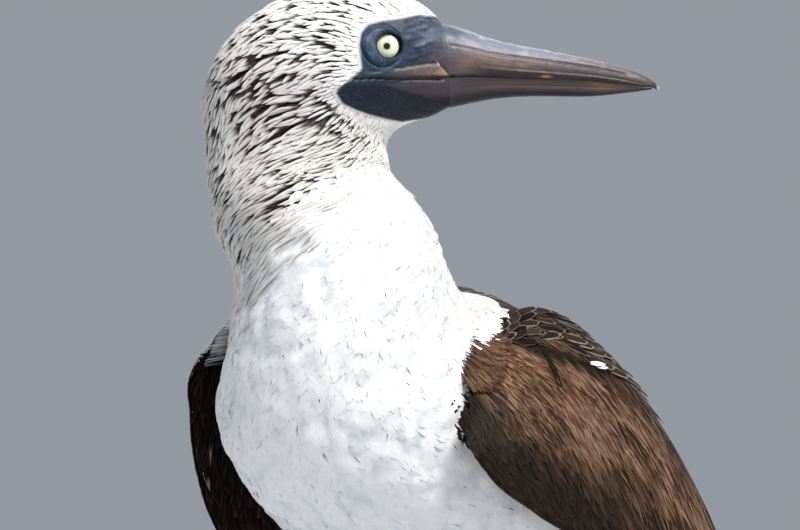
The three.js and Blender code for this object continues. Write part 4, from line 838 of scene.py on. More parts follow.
def coat_wing(side):
    rng = np.random.default_rng(20+(side > 0)); name = 'left' if side > 0 else 'right'
    S = wing_out[side]
    coat = Coat(f'coat_wing_{name}', mat_brown if side > 0 else mat_dark, 0.55)
    big = Coat(f'flight_wing_{name}', mat_flight, 0.2); glossy = Coat(f'coat_wing_{name}_shoulder', mat_dark, 0.1)
    dark_fl = lin(44, 31, 25)
    # primaries: the longest reaches the tip, the rest step back along the lower edge
    for k in range(8):
        t1 = 1.0-0.036*k-0.004*k*k; q1 = 0.15-0.11*k
        for SS, lay, cc in ((S, 0.86-0.035*k, dark_fl), (wing_in[side], 0.55-0.03*k, lin(74, 62, 55))):
            big.add(*big_vane(SS, 0.40-0.012*k, -0.30-0.05*k, t1, max(q1, -0.86), 19-0.4*k, lay, rng, cc*(0.9+0.2*rng.random()), tip=0.10, pointed=1.0, edge=0.18))
    # secondaries: tips along the lower edge
    for k in range(13):
        x = k/12; t1 = 0.30+0.48*x; t0 = t1-0.27
        for SS, lay in ((S, 0.62-0.012*k), (wing_in[side], 0.42-0.01*k)):
            big.add(*big_vane(SS, max(t0, 0.02), -0.52+0.62*x, t1, -0.84+0.42*x, 21, lay, rng, (lin(62, 44, 34) if SS is S else lin(86, 74, 66))*(0.9+0.2*rng.random()), tip=0.35, edge=0.4))
    # tertials and long scapulars over them
    for k in range(13):
        x = k/12; t1 = 0.40+0.44*x; q1 = 0.30+0.30*math.sin(k*2.4)*(1-0.5*x)+0.12*x
        big.add(*big_vane(S, t1-0.30+0.06*x, 0.55+0.3*math.sin(k*2.4+0.3)*(1-0.4*x), t1, q1, 25-4*x, 0.42-0.018*k, rng, lin(72, 50, 38)*(0.85+0.3*rng.random()), tip=0.3, edge=0.65, pointed=0.9))
    big.build()
    # coverts and scapulars: narrow, soft, streaming down the wing
    size = lambda s: 12+6*smooth(0.02, 0.16, s/(WNS-1))+9*smooth(0.16, 0.42, s/(WNS-1))-8*smooth(0.55, 0.9, s/(WNS-1))
    gap = [photo_mm(*p) for p in ((499, 330), (520, 341), (545, 351), (570, 361), (592, 372), (614, 382))]
    for face, SS in ((1, S), (-1, wing_in[side])):
        dens = 1.0 if face > 0 else 2.0
        s, f = scatter(SS, rng, lambda s: 0.27*size(s)*dens, lambda s: 0.068*size(s)*dens, (0, 0.80*(WNS-1)))
        s = np.clip(s+0.8*rng.normal(size=len(s)), 0, WNS-1.01)
        t, q = s/(WNS-1), f/(WNQ-1)*2-1
        limit = 0.47+0.30*smooth(-0.2, 0.8, q)+0.05*np.sin(q*9)+0.02*rng.normal(size=len(s))
        keep = (t < limit) & ~((face > 0) & (q > 0.56+0.5*t) & (t < 0.26) & ((side > 0) | (SS.at(s, f)[:, 2] < 268)))
        s, f, t, q = s[keep], f[keep], t[keep], q[keep]; n = len(s); P = SS.at(s, f); u, w, z = head_uwz(P)
        top = smooth(0.50, 0.72, q+0.06*value_noise(P, 18, 83))*(face > 0)
        shoulder = top*smooth(0.34, 0.20, t)
        L = (1.30-0.3*top)*size(s)*(0.80+0.5*rng.random(n)); W = (0.092*(2.1 if face < 0 else 1.0)+0.10*top)*size(s)*(0.75+0.5*rng.random(n))
        lie = (0.46+0.16*smooth(0.0, 0.2, t))*smooth(1.0, 0.55, q)*(1-0.75*smooth(-0.55, -0.95, q))*smooth(0.62, 0.42, t)
        alpha = -lie+0.05*rng.normal(size=n)+0.10*value_noise(P, 22, 81)
        D = np.minimum(4.2, 0.46*SS.at(s, f, 'th'))*(0.95-0.35*smooth(0.2, 0.45, t))
        V, X, Y, vane, _, ff = vanes(SS, s, f, rng, L, W, alpha, D, rows=5, across=5, camber=0.12, ragged=0.14, jitter_h=0.45, tip=0.06, tip_pow=1.3, base_w=0.5, belly=0.45,
                                     sway=0.05*rng.normal(size=n), over=0.7*shoulder, flat=0.8)
        PM = V[:, 5, 2]; u, w, z = head_uwz(PM)
        flow = np.stack([s*SS.at(s, f, 'ms')/26.0+0.5*q, f*SS.at(s, f, 'mf')/4.0, 0*s], -1)
        tone = 0.50*value_noise(flow, 1.0, 82)+0.45*value_noise(P, 30, 84)+0.42*rng.normal(size=n)
        b = mix(np.broadcast_to(lin(74, 48, 33), (n, 3)), lin(150, 119, 94), smooth(-0.5, 1.1, tone))
        b = mix(b, lin(30, 19, 13), smooth(0.1, -1.0, tone)*0.9)
        # painted shade: the coverts go near black towards the wing's lower front edge
        low = smooth(0.10, -0.70, q+0.14*value_noise(PM, 16, 85))*smooth(0.55, 0.2, t)
        b = mix(b, lin(20, 13, 10), np.clip(0.95*low, 0, 0.95))
        b = mix(b, lin(104, 66, 38), smooth(0.12, 0.03, t)*smooth(-0.1, 0.25, q)*0.55*rng.random(n))
        b = mix(b, lin(52, 40, 35), top*0.85)
        if side > 0 and face > 0:
            # painted shadow: a near-black band along the gap between the mantle and the wing
            k = 1-w/3020.0; gap_shadow_dist = np.abs(line_dist(9.87+(u-9.87)/k, 313.57+(z-313.57)/k, gap)); b = mix(b, lin(9, 6, 5), np.exp(-(gap_shadow_dist/3.4)**4)*0.95)
        if face < 0: b = mix(b, lin(60, 46, 40), 0.6)
        if side < 0:
            wht = (z+4*value_noise(PM, 8, 86)+1.5*rng.normal(size=n) > 269.5) & (t+0.015*rng.normal(size=n) < 0.19)
            # the far wing's own dark brown, painted near black towards its front edge as shade
            b = mix(b, lin(13, 10, 9), 0.92*smooth(0.36, 0.16, t)); b = np.where(wht[:, None], lin(243, 243, 243), b)
        else: wht = np.zeros(n, bool)
        C = b[:, None, None]*np.ones_like(V)
        C = np.where(wht[:, None, None, None], C, C*(0.72+0.40*smooth(0.2, 1.0, X))[..., None])
        e = np.maximum(smooth(0.86, 1.0, X), smooth(0.80, 1.0, np.abs(Y))*smooth(0.4, 0.8, X)*0.7)
        C = mix(C, PALE_EDGE, e*((0.10+0.55*top)*(0.3+0.9*rng.random(n))*(~wht))[:, None, None])
        # small pale flecks on the shaded leading edge
        fleck = (rng.random(n) < 0.012)*(t < 0.12)*(side < 0)
        C = mix(C, lin(176, 160, 140), (fleck[:, None, None]*smooth(0.55, 0.9, X)*0.8))
        coat.add(V, C, vane, flat_uv(SS, s, f, (0, 0 if face > 0 else 0.5), (1, 0.5 if face > 0 else 1)), vanes.N)
        if face > 0:
            # large dark feathers over the shoulder, on a matte material; their pale edges are partly real fringes and
            # partly a painted highlight for their gloss
            s, f = scatter(SS, rng, 9.5, 3.1, (0, 0.29*(WNS-1))); t, q = s/(WNS-1), f/(WNQ-1)*2-1; P = SS.at(s, f)
            keep = (q > 0.50+0.5*t+0.04*rng.normal(size=len(s))) & ((side > 0) | (P[:, 2] < 268) | (t > 0.19)); s, f, t, q, P = s[keep], f[keep], t[keep], q[keep], P[keep]; n = len(s)
            D = np.minimum(4.2, 0.46*SS.at(s, f, 'th'))
            V, X, Y, vane, _, ff = vanes(SS, s, f, rng, (22+7*rng.random(n))*(0.5+0.5*smooth(0, 0.10, t)), 4.6+1.2*rng.random(n), -0.20+0.09*rng.normal(size=n)+0.20*value_noise(P, 14, 87), D, rows=8, across=7, camber=0.60, jitter_h=0.3, tip=0.06, tip_pow=1.2,
                                         base_w=0.5, belly=0.5, over=1.3, flat=0.9, bend=0.06*rng.normal(size=n))
            b = mix(np.broadcast_to(lin(14, 11, 10), (n, 3)), lin(66, 50, 41), np.clip(rng.random(n)**1.5+0.6*smooth(0.10, 0.26, t), 0, 1))
            e = np.maximum(smooth(0.80, 1.0, np.abs(Y))*smooth(0.15, 0.5, X), smooth(0.96, 1.0, X))
            C = mix(b[:, None, None]*np.ones_like(V), lin(170, 160, 154), e*(0.12+0.75*rng.random(n)**1.5)[:, None, None])
            glossy.add(V, C, vane, flat_uv(SS, s, f, (0, 0), (1, 0.5)), vanes.N)
        if side > 0 and face > 0:
            # one white feather, a dark pointed one and the row of pale-edged ones over the gap
            def place(x, y, x2, y2, width, colour, edge, edge_col, over=1.0, tip=0.1):
                a, b2 = np.array(photo_mm(x, y)), np.array(photo_mm(x2, y2)); gu, gw, gz = head_uwz(SS.P)
                k = 1-(SS.P@K)/3020.0; GU, GZ = 9.87+(gu-9.87)/k, 313.57+(gz-313.57)/k
                def nearest(p):
                    d = (GU-p[0])**2+(GZ-p[1])**2; return np.unravel_index(np.argmin(d), d.shape)
                i, j = nearest(a); i2, j2 = nearest(b2)
                V, C, vn, uv, NN = big_vane(SS, i/(WNS-1), j/(WNQ-1)*2-1, i2/(WNS-1), j2/(WNQ-1)*2-1, width, 0.0, rng, colour, rows=10, across=7, tip=tip, edge=edge, edge_col=edge_col, root_w=0.6)
                V = V+SS.N[i2, j2]*over*np.linspace(0.2, 1, V.shape[1])[None, :, None, None]
                coat.add(V, C, vn, uv, NN)
            place(592, 364, 602, 368, 3.0, lin(244, 242, 238), 0.0, WHITE, 2.6, 0.1)
            place(597, 366, 605, 371, 2.6, lin(240, 237, 232), 0.0, WHITE, 2.6, 0.1)
            place(533, 338, 560, 391, 3.4, lin(8, 7, 7), 0.0, WHITE, 2.4, 0.02)
            for k in range(9):
                x, y = 560+8.5*k+3*rng.normal(), 336+5.2*k+3*rng.normal()
                place(x, y, x+23, y+11+0.8*k, 6.0, lin(48, 35, 28)*(0.8+0.4*rng.random()), 0.8, PALE_EDGE, 2.2, 0.2)
    coat.build(); glossy.build()

def coat_wing_front(side):
    """feathers rooted on the breast that close over the front edge of the wing"""
    rng = np.random.default_rng(60+(side > 0)); S = wing_out[side]; n = 1500
    q = rng.random(n)*1.9-0.92; t = rng.random(n)*0.022
    s, f = t*(WNS-1), (q+1)/2*(WNQ-1); T = S.at(s, f)+S.at(s, f, 'N')*(0.1+0.5*rng.random(n))[:, None]
    es = S.at(s+5, f)-S.at(s, f); es /= np.linalg.norm(es, axis=1)[:, None]
    tree = kdtree.KDTree(main.P.shape[0]*main.P.shape[1]//2); flat = main.P[::2].reshape(-1, 3); flat_n = main.N[::2].reshape(-1, 3)
    for i, c in enumerate(flat): tree.insert(Vector(c), i)
    tree.balance(); ln = 8+5*rng.random(n)
    ef = S.at(s, np.minimum(f+3, WNQ-1.01))-S.at(s, f); ef /= np.linalg.norm(ef, axis=1)[:, None]+1e-9
    k = [tree.find(Vector(c))[1] for c in T-es*(0.8*ln)[:, None]+ef*(0.6*ln)[:, None]]; A, NA = flat[k], flat_n[k]
    A = A-NA*1.6; d = T-A; NB = S.at(s, f, 'N'); mid = A+d*0.45+(NA+NB)*0.9
    X = np.linspace(0, 1, 6)[None, :, None]; Y = np.linspace(-1, 1, 5)[None, None]; x = X[..., None]
    line = (1-x)**2*A[:, None, None]+2*x*(1-x)*mid[:, None, None]+x*x*T[:, None, None]
    N = NA[:, None, None]*(1-x)+NB[:, None, None]*x; N = N/np.linalg.norm(N, axis=-1, keepdims=True)
    sd = np.cross(d[:, None, None], N); sd /= np.linalg.norm(sd, axis=-1, keepdims=True)
    w = np.where(X < 0.5, 0.35+0.65*np.sin(X*pi), np.maximum(1-((X-0.5)/0.5)**2, 0)**0.5*0.85+0.15)
    wide = np.where(past_breast(T) > 0, 0.65, 1.4) if side > 0 else np.where(T[:, 2] > 268, 1.5, 0.8)
    V = line+sd*(Y*w*(wide[:, None, None]*(0.8+0.5*rng.random((n, 1, 1)))))[..., None]-N*(0.25*Y*Y*w)[..., None]
    keep = (np.linalg.norm(d, axis=1) < (17 if side > 0 else 25)) & (T[:, 2] > (257 if side > 0 else 225)); N = N*np.ones_like(V)
    b = mix(np.broadcast_to(lin(243, 243, 243), (n, 3)), lin(228, 224, 218), rng.random(n))
    low = T[:, 2] < 269+3.0*rng.normal(size=n)
    # on the far side the lower ones take the wing's dark brown, painted near black as shade
    if side < 0: b = np.where(low[:, None], mix(np.broadcast_to(lin(13, 10, 9), (n, 3)), lin(30, 22, 18), rng.random(n)), b)
    else:
        PM = V[:, 4, 2]; b = np.where((past_breast(PM)+1.0*rng.normal(size=n) > 0)[:, None], covert_brown(PM, rng), b)
    c = Coat('coat_wing_front_'+('left' if side > 0 else 'right'), mat_white if side > 0 else mat_dark, 0.7)
    vane = np.stack(np.broadcast_arrays((Y+1)/2, X), -1)*np.ones((n, 1, 1, 1))
    sf, ff = s, f
    c.add(V[keep], (b[:, None, None]*np.ones_like(V))[keep], vane[keep], flat_uv(S, sf, ff)[keep], N[keep]); c.build()

def tail_surf():
    s = np.linspace(0.3, 172, 120); v = catmull(TAIL[:, 0], TAIL, s)
    xx = np.linspace(-1, 1, 61); a = rad(25)
    def grid(face, th):
        x = v[:, 1][:, None]*xx[None]; y = face*th*v[:, 2][:, None]/2*np.maximum(1-xx[None]**2, 0)**0.35-5*(x/27)**2
        S_ = s[:, None]*np.ones_like(x)
        return np.stack([x, 222+S_*math.cos(a)+y*math.sin(a), 125-S_*math.sin(a)+y*math.cos(a)], -1)
    out = {}
    for face in (1, -1):
        g = Surf(grid(face, 1.0), False)
        if (g.N[60, 30]@np.array([0, 0.4, 0.9]))*face < 0: g.N = -g.N
        g.th = np.repeat(v[:, 2][:, None]*np.ones(1), 61, 1)*np.maximum(1-xx[None]**2, 0.02)**0.35; out[face] = g
    return out

def coat_tail():
    rng = np.random.default_rng(31); T = tail_surf(); big = Coat('flight_tail', mat_flight, 0.2)
    for face in (1, -1):
        for k in range(6):
            for sg in ((1, -1) if k else (1, -1)):
                t1 = 1.0-0.085*k-0.006*k*k; wmax = 0.30+0.13*k
                lay = 0.20+0.12*k if face > 0 else 0.85-0.10*k
                shade = mix(lin(176, 168, 158), lin(84, 66, 55), min(1, 0.10+0.24*k))
                q0, q1 = sg*(0.05+0.11*k), sg*min(0.82, 0.02+0.20*k)
                big.add(*big_vane(T[face], 0.0, q0, t1, q1, 15.5, lay+(0.03 if sg > 0 else 0), rng, shade*(0.93+0.14*rng.random()), rows=18, across=9, tip=0.10, pointed=1.05, edge=0.35, edge_col=lin(214, 206, 196)))
    big.build()
    cov = Coat('coat_tail', mat_white, 0.5)
    for face in (1, -1):
        S = T[face]; s, f = scatter(S, rng, 4.5, 5.0, (0, 34 if face > 0 else 44)); n = len(s)
        D = np.minimum(3.5, 0.4*S.at(s, f, 'th'))
        V, X, Y, vane, _, _ = vanes(S, s, f, rng, 26+8*rng.random(n), 10.0, 0.05*rng.normal(size=n), D, rows=5, across=6, camber=0.15, ragged=0.10, tip=0.25, base_w=0.5)
        b = mix(np.broadcast_to(lin(236, 234, 230), (n, 3)), lin(150, 130, 112), (rng.random(n)*0.5*(face > 0)))
        cov.add(V, (b[:, None, None]*np.ones_like(V)), vane, flat_uv(S, s, f, (0, 0 if face > 0 else 0.5), (1, 0.5 if face > 0 else 1)), vanes.N)
    cov.build()
    return T

def thigh_surf(side):
    k = np.arange(len(THIGH), dtype=float); v = catmull(k, THIGH, np.linspace(0, 5, 90)); a = np.arange(80)*2*pi/80
    P = np.stack([side*(v[:, 0][:, None]+v[:, 3][:, None]*np.cos(a)), v[:, 1][:, None]+v[:, 4][:, None]*np.sin(a), v[:, 2][:, None]+0*a], -1)
    g = Surf(P, True)
    c = P.mean(1, keepdims=True)
    if ((g.N*(P-c)).sum(-1)).mean() < 0: g.N = -g.N
    return g
def inside_main(P, margin=0.0):
    """rough test: is a point inside the trunk"""
    v = catmull(KN, MAIN, np.linspace(knot_at(14), KN[-1], 60)); out = np.zeros(len(P), bool)
    for r in v:
        p = rad(r[4]); Tn = np.array([0, math.cos(p), -math.sin(p)]); d = (P-r[:3])@Tn
        D = np.array([0, math.sin(p), math.cos(p)]); y = (P-r[:3])@D; x = (P-r[:3])[:, 0]
        dep = np.where(y > 0, r[6], r[7])-margin
        out |= (np.abs(d) < 5) & ((np.abs(x)/(r[5]-margin))**r[8]+(np.abs(y)/dep)**r[8] < 1)
    return out
def coat_thigh(side):
    rng = np.random.default_rng(40+(side > 0)); S = thigh_surf(side)
    size = lambda s: 15-8*smooth(30, 88, s)
    s, f = scatter(S, rng, lambda s: 0.27*size(s), lambda s: 0.34*size(s), (0, 88)); P = S.at(s, f)
    keep = ~inside_main(P, 1.0); s, f, P = s[keep], f[keep], P[keep]; n = len(s)
    D = 3.2-2.4*smooth(45, 88, s)
    L = np.minimum(size(s)*(0.85+0.3*rng.random(n)), 3.0+(89-s)*S.at(s, f, 'ms'))
    V, X, Y, vane, _, _ = vanes(S, s, f, rng, L, 0.62*size(s), 0.08*rng.normal(size=n), D, rows=4, across=5, camber=0.2, ragged=0.12, jitter_h=0.3, tip=0.3, base_w=0.5)
    b = mix(np.broadcast_to(lin(242, 242, 240), (n, 3)), lin(216, 212, 206), rng.random(n))
    c = Coat('coat_thigh_'+('left' if side > 0 else 'right'), mat_white, 0.7); c.add(V, b[:, None, None]*np.ones_like(V), vane, flat_uv(S, s, f), vanes.N); c.build()

# ------------------------------------------------------------------ skin
def closed_tube(G, name):
    """a closed mesh from rings (ns, nf, 3) with a point at each end"""
    ns, nf = G.shape[:2]
    V = np.concatenate([G.reshape(-1, 3), G[0].mean(0)[None], G[-1].mean(0)[None]])
    q = grid_quads(ns, nf, True); j = np.arange(nf); k = (j+1) % nf; a = ns*nf
    tr = np.concatenate([np.stack([k, j, np.full(nf, a)], -1), np.stack([(ns-1)*nf+j, (ns-1)*nf+k, np.full(nf, a+1)], -1)])
    o = mesh_object(name, V, q, tris=tr)
    bm = bmesh.new(); bm.from_mesh(o.data); bmesh.ops.recalc_face_normals(bm, faces=bm.faces)
    if bm.calc_volume(signed=True) < 0: bmesh.ops.reverse_faces(bm, faces=bm.faces)
    bm.to_mesh(o.data); bm.free()
    return o

def skin_material():
    m, nt, b = new_mat('skin'); L = nt.links.new
    at = node(nt, 'ShaderNodeAttribute', attribute_name='col'); br = node(nt, 'ShaderNodeAttribute', attribute_name='bare')
    tc = node(nt, 'ShaderNodeTexCoord')
    n1 = node(nt, 'ShaderNodeTexNoise', ins={'Scale': 900.0, 'Detail': 4.0, 'Roughness': 0.65}); L(tc.outputs['Object'], n1.inputs['Vector'])
    v1 = node(nt, 'ShaderNodeTexVoronoi', ins={'Scale': 1500.0}); L(tc.outputs['Object'], v1.inputs['Vector'])
    mr = node(nt, 'ShaderNodeMapRange', ins={'From Min': 0.3, 'From Max': 0.7, 'To Min': 0.80, 'To Max': 1.18}); L(n1.outputs['Fac'], mr.inputs['Value'])
    mul = node(nt, 'ShaderNodeVectorMath', operation='SCALE'); L(at.outputs['Color'], mul.inputs[0]); L(mr.outputs['Result'], mul.inputs['Scale'])
    L(mul.outputs['Vector'], b.inputs['Base Color'])
    ro = node(nt, 'ShaderNodeMapRange', ins={'To Min': 0.95, 'To Max': 0.46}); L(br.outputs['Fac'], ro.inputs['Value']); L(ro.outputs['Result'], b.inputs['Roughness'])
    ad = node(nt, 'ShaderNodeMath', operation='MULTIPLY_ADD'); L(v1.outputs['Distance'], ad.inputs[0]); ad.inputs[1].default_value = 0.5; L(n1.outputs['Fac'], ad.inputs[2])
    bp = node(nt, 'ShaderNodeBump', ins={'Strength': 0.5, 'Distance': 0.00022}); L(ad.outputs['Value'], bp.inputs['Height']); L(bp.outputs['Normal'], b.inputs['Normal'])
    b.inputs['Specular IOR Level'].default_value = 0.28
    return m

def make_skin():
    # rings close together on the face, wider down the neck and trunk
    T = [0.0]
    while T[-1] < KN[-1]-0.5:
        t = T[-1]; T.append(t+0.50+0.7*smooth(knot_at(4.3), knot_at(5.4), t)+1.2*smooth(knot_at(6), knot_at(10), t)+1.2*smooth(knot_at(13), knot_at(16), t))
    T[-1] = KN[-1]; T = np.array(T); nf = 230
    v = np.repeat(catmull(KN, MAIN, T)[:, None], nf, 1)
    # angles spaced evenly round each ring
    a = np.arange(nf)*2*pi/nf
    P0 = section(v, np.repeat(a[None], len(T), 0)); c = P0.mean(1, keepdims=True)
    # the front rings take the shape of the bill's base
    aa = np.linspace(0, pi, 200); b = BILL[0]
    yy = np.concatenate([b[4]*spow(np.cos(aa), 0.8), 0.93*b[4]*spow(np.cos(aa), 0.7)]); zz = np.concatenate([b[2]+0.15+(b[1]-b[2]-0.15)*spow(np.sin(aa), 0.9), b[2]-0.15+(b[3]-b[2]+0.15)*spow(np.sin(aa), 0.85)])-403.25
    bt, br = np.arctan2(zz, yy), np.hypot(zz, yy); o_ = np.argsort(bt); q = P0-c; y, z = q@K, q[..., 2]; th = np.arctan2(z, y)
    want = np.interp(th, bt[o_], br[o_], period=2*pi); have = 1/np.sqrt((np.cos(th)/13.5)**2+(np.sin(th)/19.83)**2)
    dist = np.linalg.norm(c-c[:1], axis=-1)
    P0 = c+q*(1+(want/have-1)*(1-smooth(0.3, 10, dist)))[..., None]
    S = Surf(P0, True)
    if ((S.N*(S.P-S.P.mean(1, keepdims=True))).sum(-1)).mean() < 0: S.N = -S.N
    TT = np.repeat(T[:, None], nf, 1)
    D, fd = coat_depth(S.P, TT)
    off, bare = face_relief(S.P, S.N)
    fade = (1-smooth(knot_at(5.3), knot_at(6.5), TT))[..., None]
    calm = smooth(0.0, 2.5, dist)[..., None]
    G = S.P-S.N*(D*calm[..., 0]-0.04*(1-calm[..., 0]))[..., None]+off*fade*calm
    # the front edge laps on to the bill's base
    c0 = S.P[0].mean(0)
    lap = [c0+(S.P[0]-c0)*(1-0.016*max(0, t-1.2)-k/16)+R*t for t, k in ((3.4, 0.9), (2.5, 0.35), (1.7, 0.12), (0.85, 0.03))]
    G = np.concatenate([np.array(lap), G])
    o = closed_tube(G, 'skin')
    cores = []
    for side in (1, -1):
        W = WINGS[side].copy(); cut = np.minimum(4.2, 0.46*W[:, 7]); W[:, 7] = np.maximum(W[:, 7]-2*cut, 0.7); W[:, 4] = np.maximum(W[:, 4]-3.5, W[:, 4]*0.55)
        tt = WKN[side][-1]*np.concatenate([[0.008, 0.02], np.linspace(0.035, 0.975, 54)]); vv = np.repeat(catmull(WKN[side], W, tt)[:, None], 56, 1)
        aa = np.repeat((np.arange(56)*2*pi/56)[None], len(tt), 0)
        cores.append(closed_tube(wing_point(vv, -np.cos(aa), spow(np.sin(aa), 0.8), side), f'core{side}'))
        k = np.arange(len(THIGH), dtype=float); v = catmull(k, THIGH, np.linspace(0.3, 4.96, 40)); a = np.arange(48)*2*pi/48
        cut = (3.2-2.4*smooth(2.6, 5, np.linspace(0.3, 4.96, 40)))[:, None]
        P = np.stack([side*(v[:, 0][:, None]+(v[:, 3][:, None]-cut)*np.cos(a)), v[:, 1][:, None]+(v[:, 4][:, None]-cut)*np.sin(a), v[:, 2][:, None]+0*a], -1)
        cores.append(closed_tube(P, f'thigh{side}'))
    s = np.linspace(-12, 120, 30); v = catmull(TAIL[:, 0], TAIL, np.clip(s, 0.3, 172)); aa = np.arange(40)*2*pi/40; al = rad(25)
    x = (v[:, 1]-3.0)[:, None]*np.cos(aa); y = np.maximum(v[:, 2]*0.22, 0.5)[:, None]*spow(np.sin(aa), 0.8)-5*(x/27)**2
    cores.append(closed_tube(np.stack([x, 222+s[:, None]*math.cos(al)+y*math.sin(al), 125-s[:, None]*math.sin(al)+y*math.cos(al)], -1), 'tailcore'))
    bpy.context.view_layer.objects.active = o
    for c in cores:
        m = o.modifiers.new('u', 'BOOLEAN'); m.operation = 'UNION'; m.object = c; m.solver = 'MANIFOLD'
    bpy.context.view_layer.update()
    dg = bpy.context.evaluated_depsgraph_get(); me = bpy.data.meshes.new_from_object(o.evaluated_get(dg))
    o.modifiers.clear(); old = o.data; o.data = me; bpy.data.meshes.remove(old)
    for c in cores: bpy.data.objects.remove(c)
    n = len(me.vertices); P = np.empty(n*3, np.float32); me.vertices.foreach_get('co', P); P = P.reshape(-1, 3).astype(float)*1000-SHIFT
    N = np.empty(n*3, np.float32); me.vertices.foreach_get('normal', N); N = N.reshape(-1, 3).astype(float)
    u, w, z = head_uwz(P)
    bare = np.where(z > 372, 1-smooth(-0.7, 0.5, face_dist(u, z)), 0)
    # wing roots stay dark under their feathers
    wingish = (np.abs(P[:, 0]) > 30) & (P[:, 1] > -40)
    tree_d = np.array([wing_tree.find(Vector(p))[2] for p in P]) if n < 200000 else np.full(n, 99)
    brown = np.maximum(brown_field(P, N), smooth(12, 7, tree_d)*np.where(P[:, 0] < -20, smooth(271, 266, P[:, 2]), 1))
    col = skin_colour(P, N, 0, bare, smooth(0, 10, streak_field(P)), brown)
    if 'col' in me.attributes: me.attributes.remove(me.attributes['col'])
    at = me.attributes.new('col', 'FLOAT_COLOR', 'POINT'); c4 = np.ones((n, 4), np.float32); c4[:, :3] = np.clip(col, 0, 1); at.data.foreach_set('color', c4.ravel())
    at = me.attributes.new('bare', 'FLOAT', 'POINT'); at.data.foreach_set('value', bare.astype(np.float32))
    me.materials.clear(); me.materials.append(skin_material())
    me.polygons.foreach_set('use_smooth', np.ones(len(me.polygons), bool))
    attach(o, 'root'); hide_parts(*FLESH)
    print('skin faces', len(me.polygons))
    return o

# ------------------------------------------------------------------ eyes
def eye_material():
    m, nt, b = new_mat('eye'); L = nt.links.new
    at = node(nt, 'ShaderNodeAttribute', attribute_name='col'); L(at.outputs['Color'], b.inputs['Base Color'])
    b.inputs['Roughness'].default_value = 0.22; b.inputs['Coat Weight'].default_value = 1.0; b.inputs['Coat Roughness'].default_value = 0.02
    b.inputs['Specular IOR Level'].default_value = 0.5
    return m
def make_eye(side, mat):
    eye, _ = ring_frame(side); f, e = rad(4), rad(3)
    ax = np.array([R[0]*math.sin(f)+side*K[0]*math.cos(f), R[1]*math.sin(f)+side*K[1]*math.cos(f), math.sin(e)]); ax /= np.linalg.norm(ax)
    e1 = np.cross(UP, ax); e1 /= np.linalg.norm(e1); e2 = np.cross(ax, e1)
    nt_, nf = 110, 96
    th = np.concatenate([np.linspace(0.004, rad(48), 84), np.linspace(rad(52), rad(176), 26)]); ph = np.arange(nf)*2*pi/nf
    rr = EYE_R*np.sin(th); bulge = 0.55*np.clip(1-(rr/5.4)**2, 0, 1)*(th < 1.2)
    front = np.where(th < rad(50), math.cos(rad(50))+0.62*(np.cos(th)-math.cos(rad(50))), np.cos(th))
    G = eye+((EYE_R-0.25+bulge)[:, None, None])*(front[:, None, None]*ax+np.sin(th)[:, None, None]*(np.cos(ph)[None, :, None]*e1+np.sin(ph)[None, :, None]*e2))
    r = np.repeat(rr[:, None], nf, 1); fib = np.sin(ph[None]*37+2*np.sin(ph*9)[None])*0.5+np.sin(ph[None]*83+r)*0.5
    c = np.broadcast_to(lin(224, 230, 200), r.shape+(3,)).copy()
    c = mix(c, lin(206, 214, 150), smooth(3.0, 1.4, r)*0.6)
    c = mix(c, lin(212, 222, 200), smooth(3.6, 4.9, r)*0.6)
    c = c*(1+0.06*fib[..., None]*smooth(1.4, 2.4, r)[..., None])
    c = mix(c, lin(120, 130, 92), np.exp(-((r-1.65)/0.22)**2)*0.5)
    c = mix(c, lin(9, 9, 10), smooth(1.52, 1.36, r))
    c = mix(c, lin(38, 46, 48), smooth(5.3, 5.6, r)); c = mix(c, lin(16, 18, 20), smooth(5.7, 6.3, r)+(th[:, None] > 1.2))
    V = np.concatenate([G.reshape(-1, 3), G[0].mean(0)[None], G[-1].mean(0)[None]]); j = np.arange(nf); k = (j+1) % nf
    tr = np.concatenate([np.stack([k, j, np.full(nf, nt_*nf)], -1), np.stack([(nt_-1)*nf+j, (nt_-1)*nf+k, np.full(nf, nt_*nf+1)], -1)])
    C = np.concatenate([c.reshape(-1, 3), lin(9, 9, 10)[None], lin(16, 18, 20)[None]])
    name = 'right' if side > 0 else 'left'
    o = mesh_object(f'eyeball_{name}', V, grid_quads(nt_, nf, True), C, mat=mat, tris=tr)
    fix_normals(o)
    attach(o, 'root'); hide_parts(f'eye_{name}')
def fix_normals(o):
    bm = bmesh.new(); bm.from_mesh(o.data); bmesh.ops.recalc_face_normals(bm, faces=bm.faces)
    if bm.calc_volume(signed=True) < 0: bmesh.ops.reverse_faces(bm, faces=bm.faces)
    bm.to_mesh(o.data); bm.free()

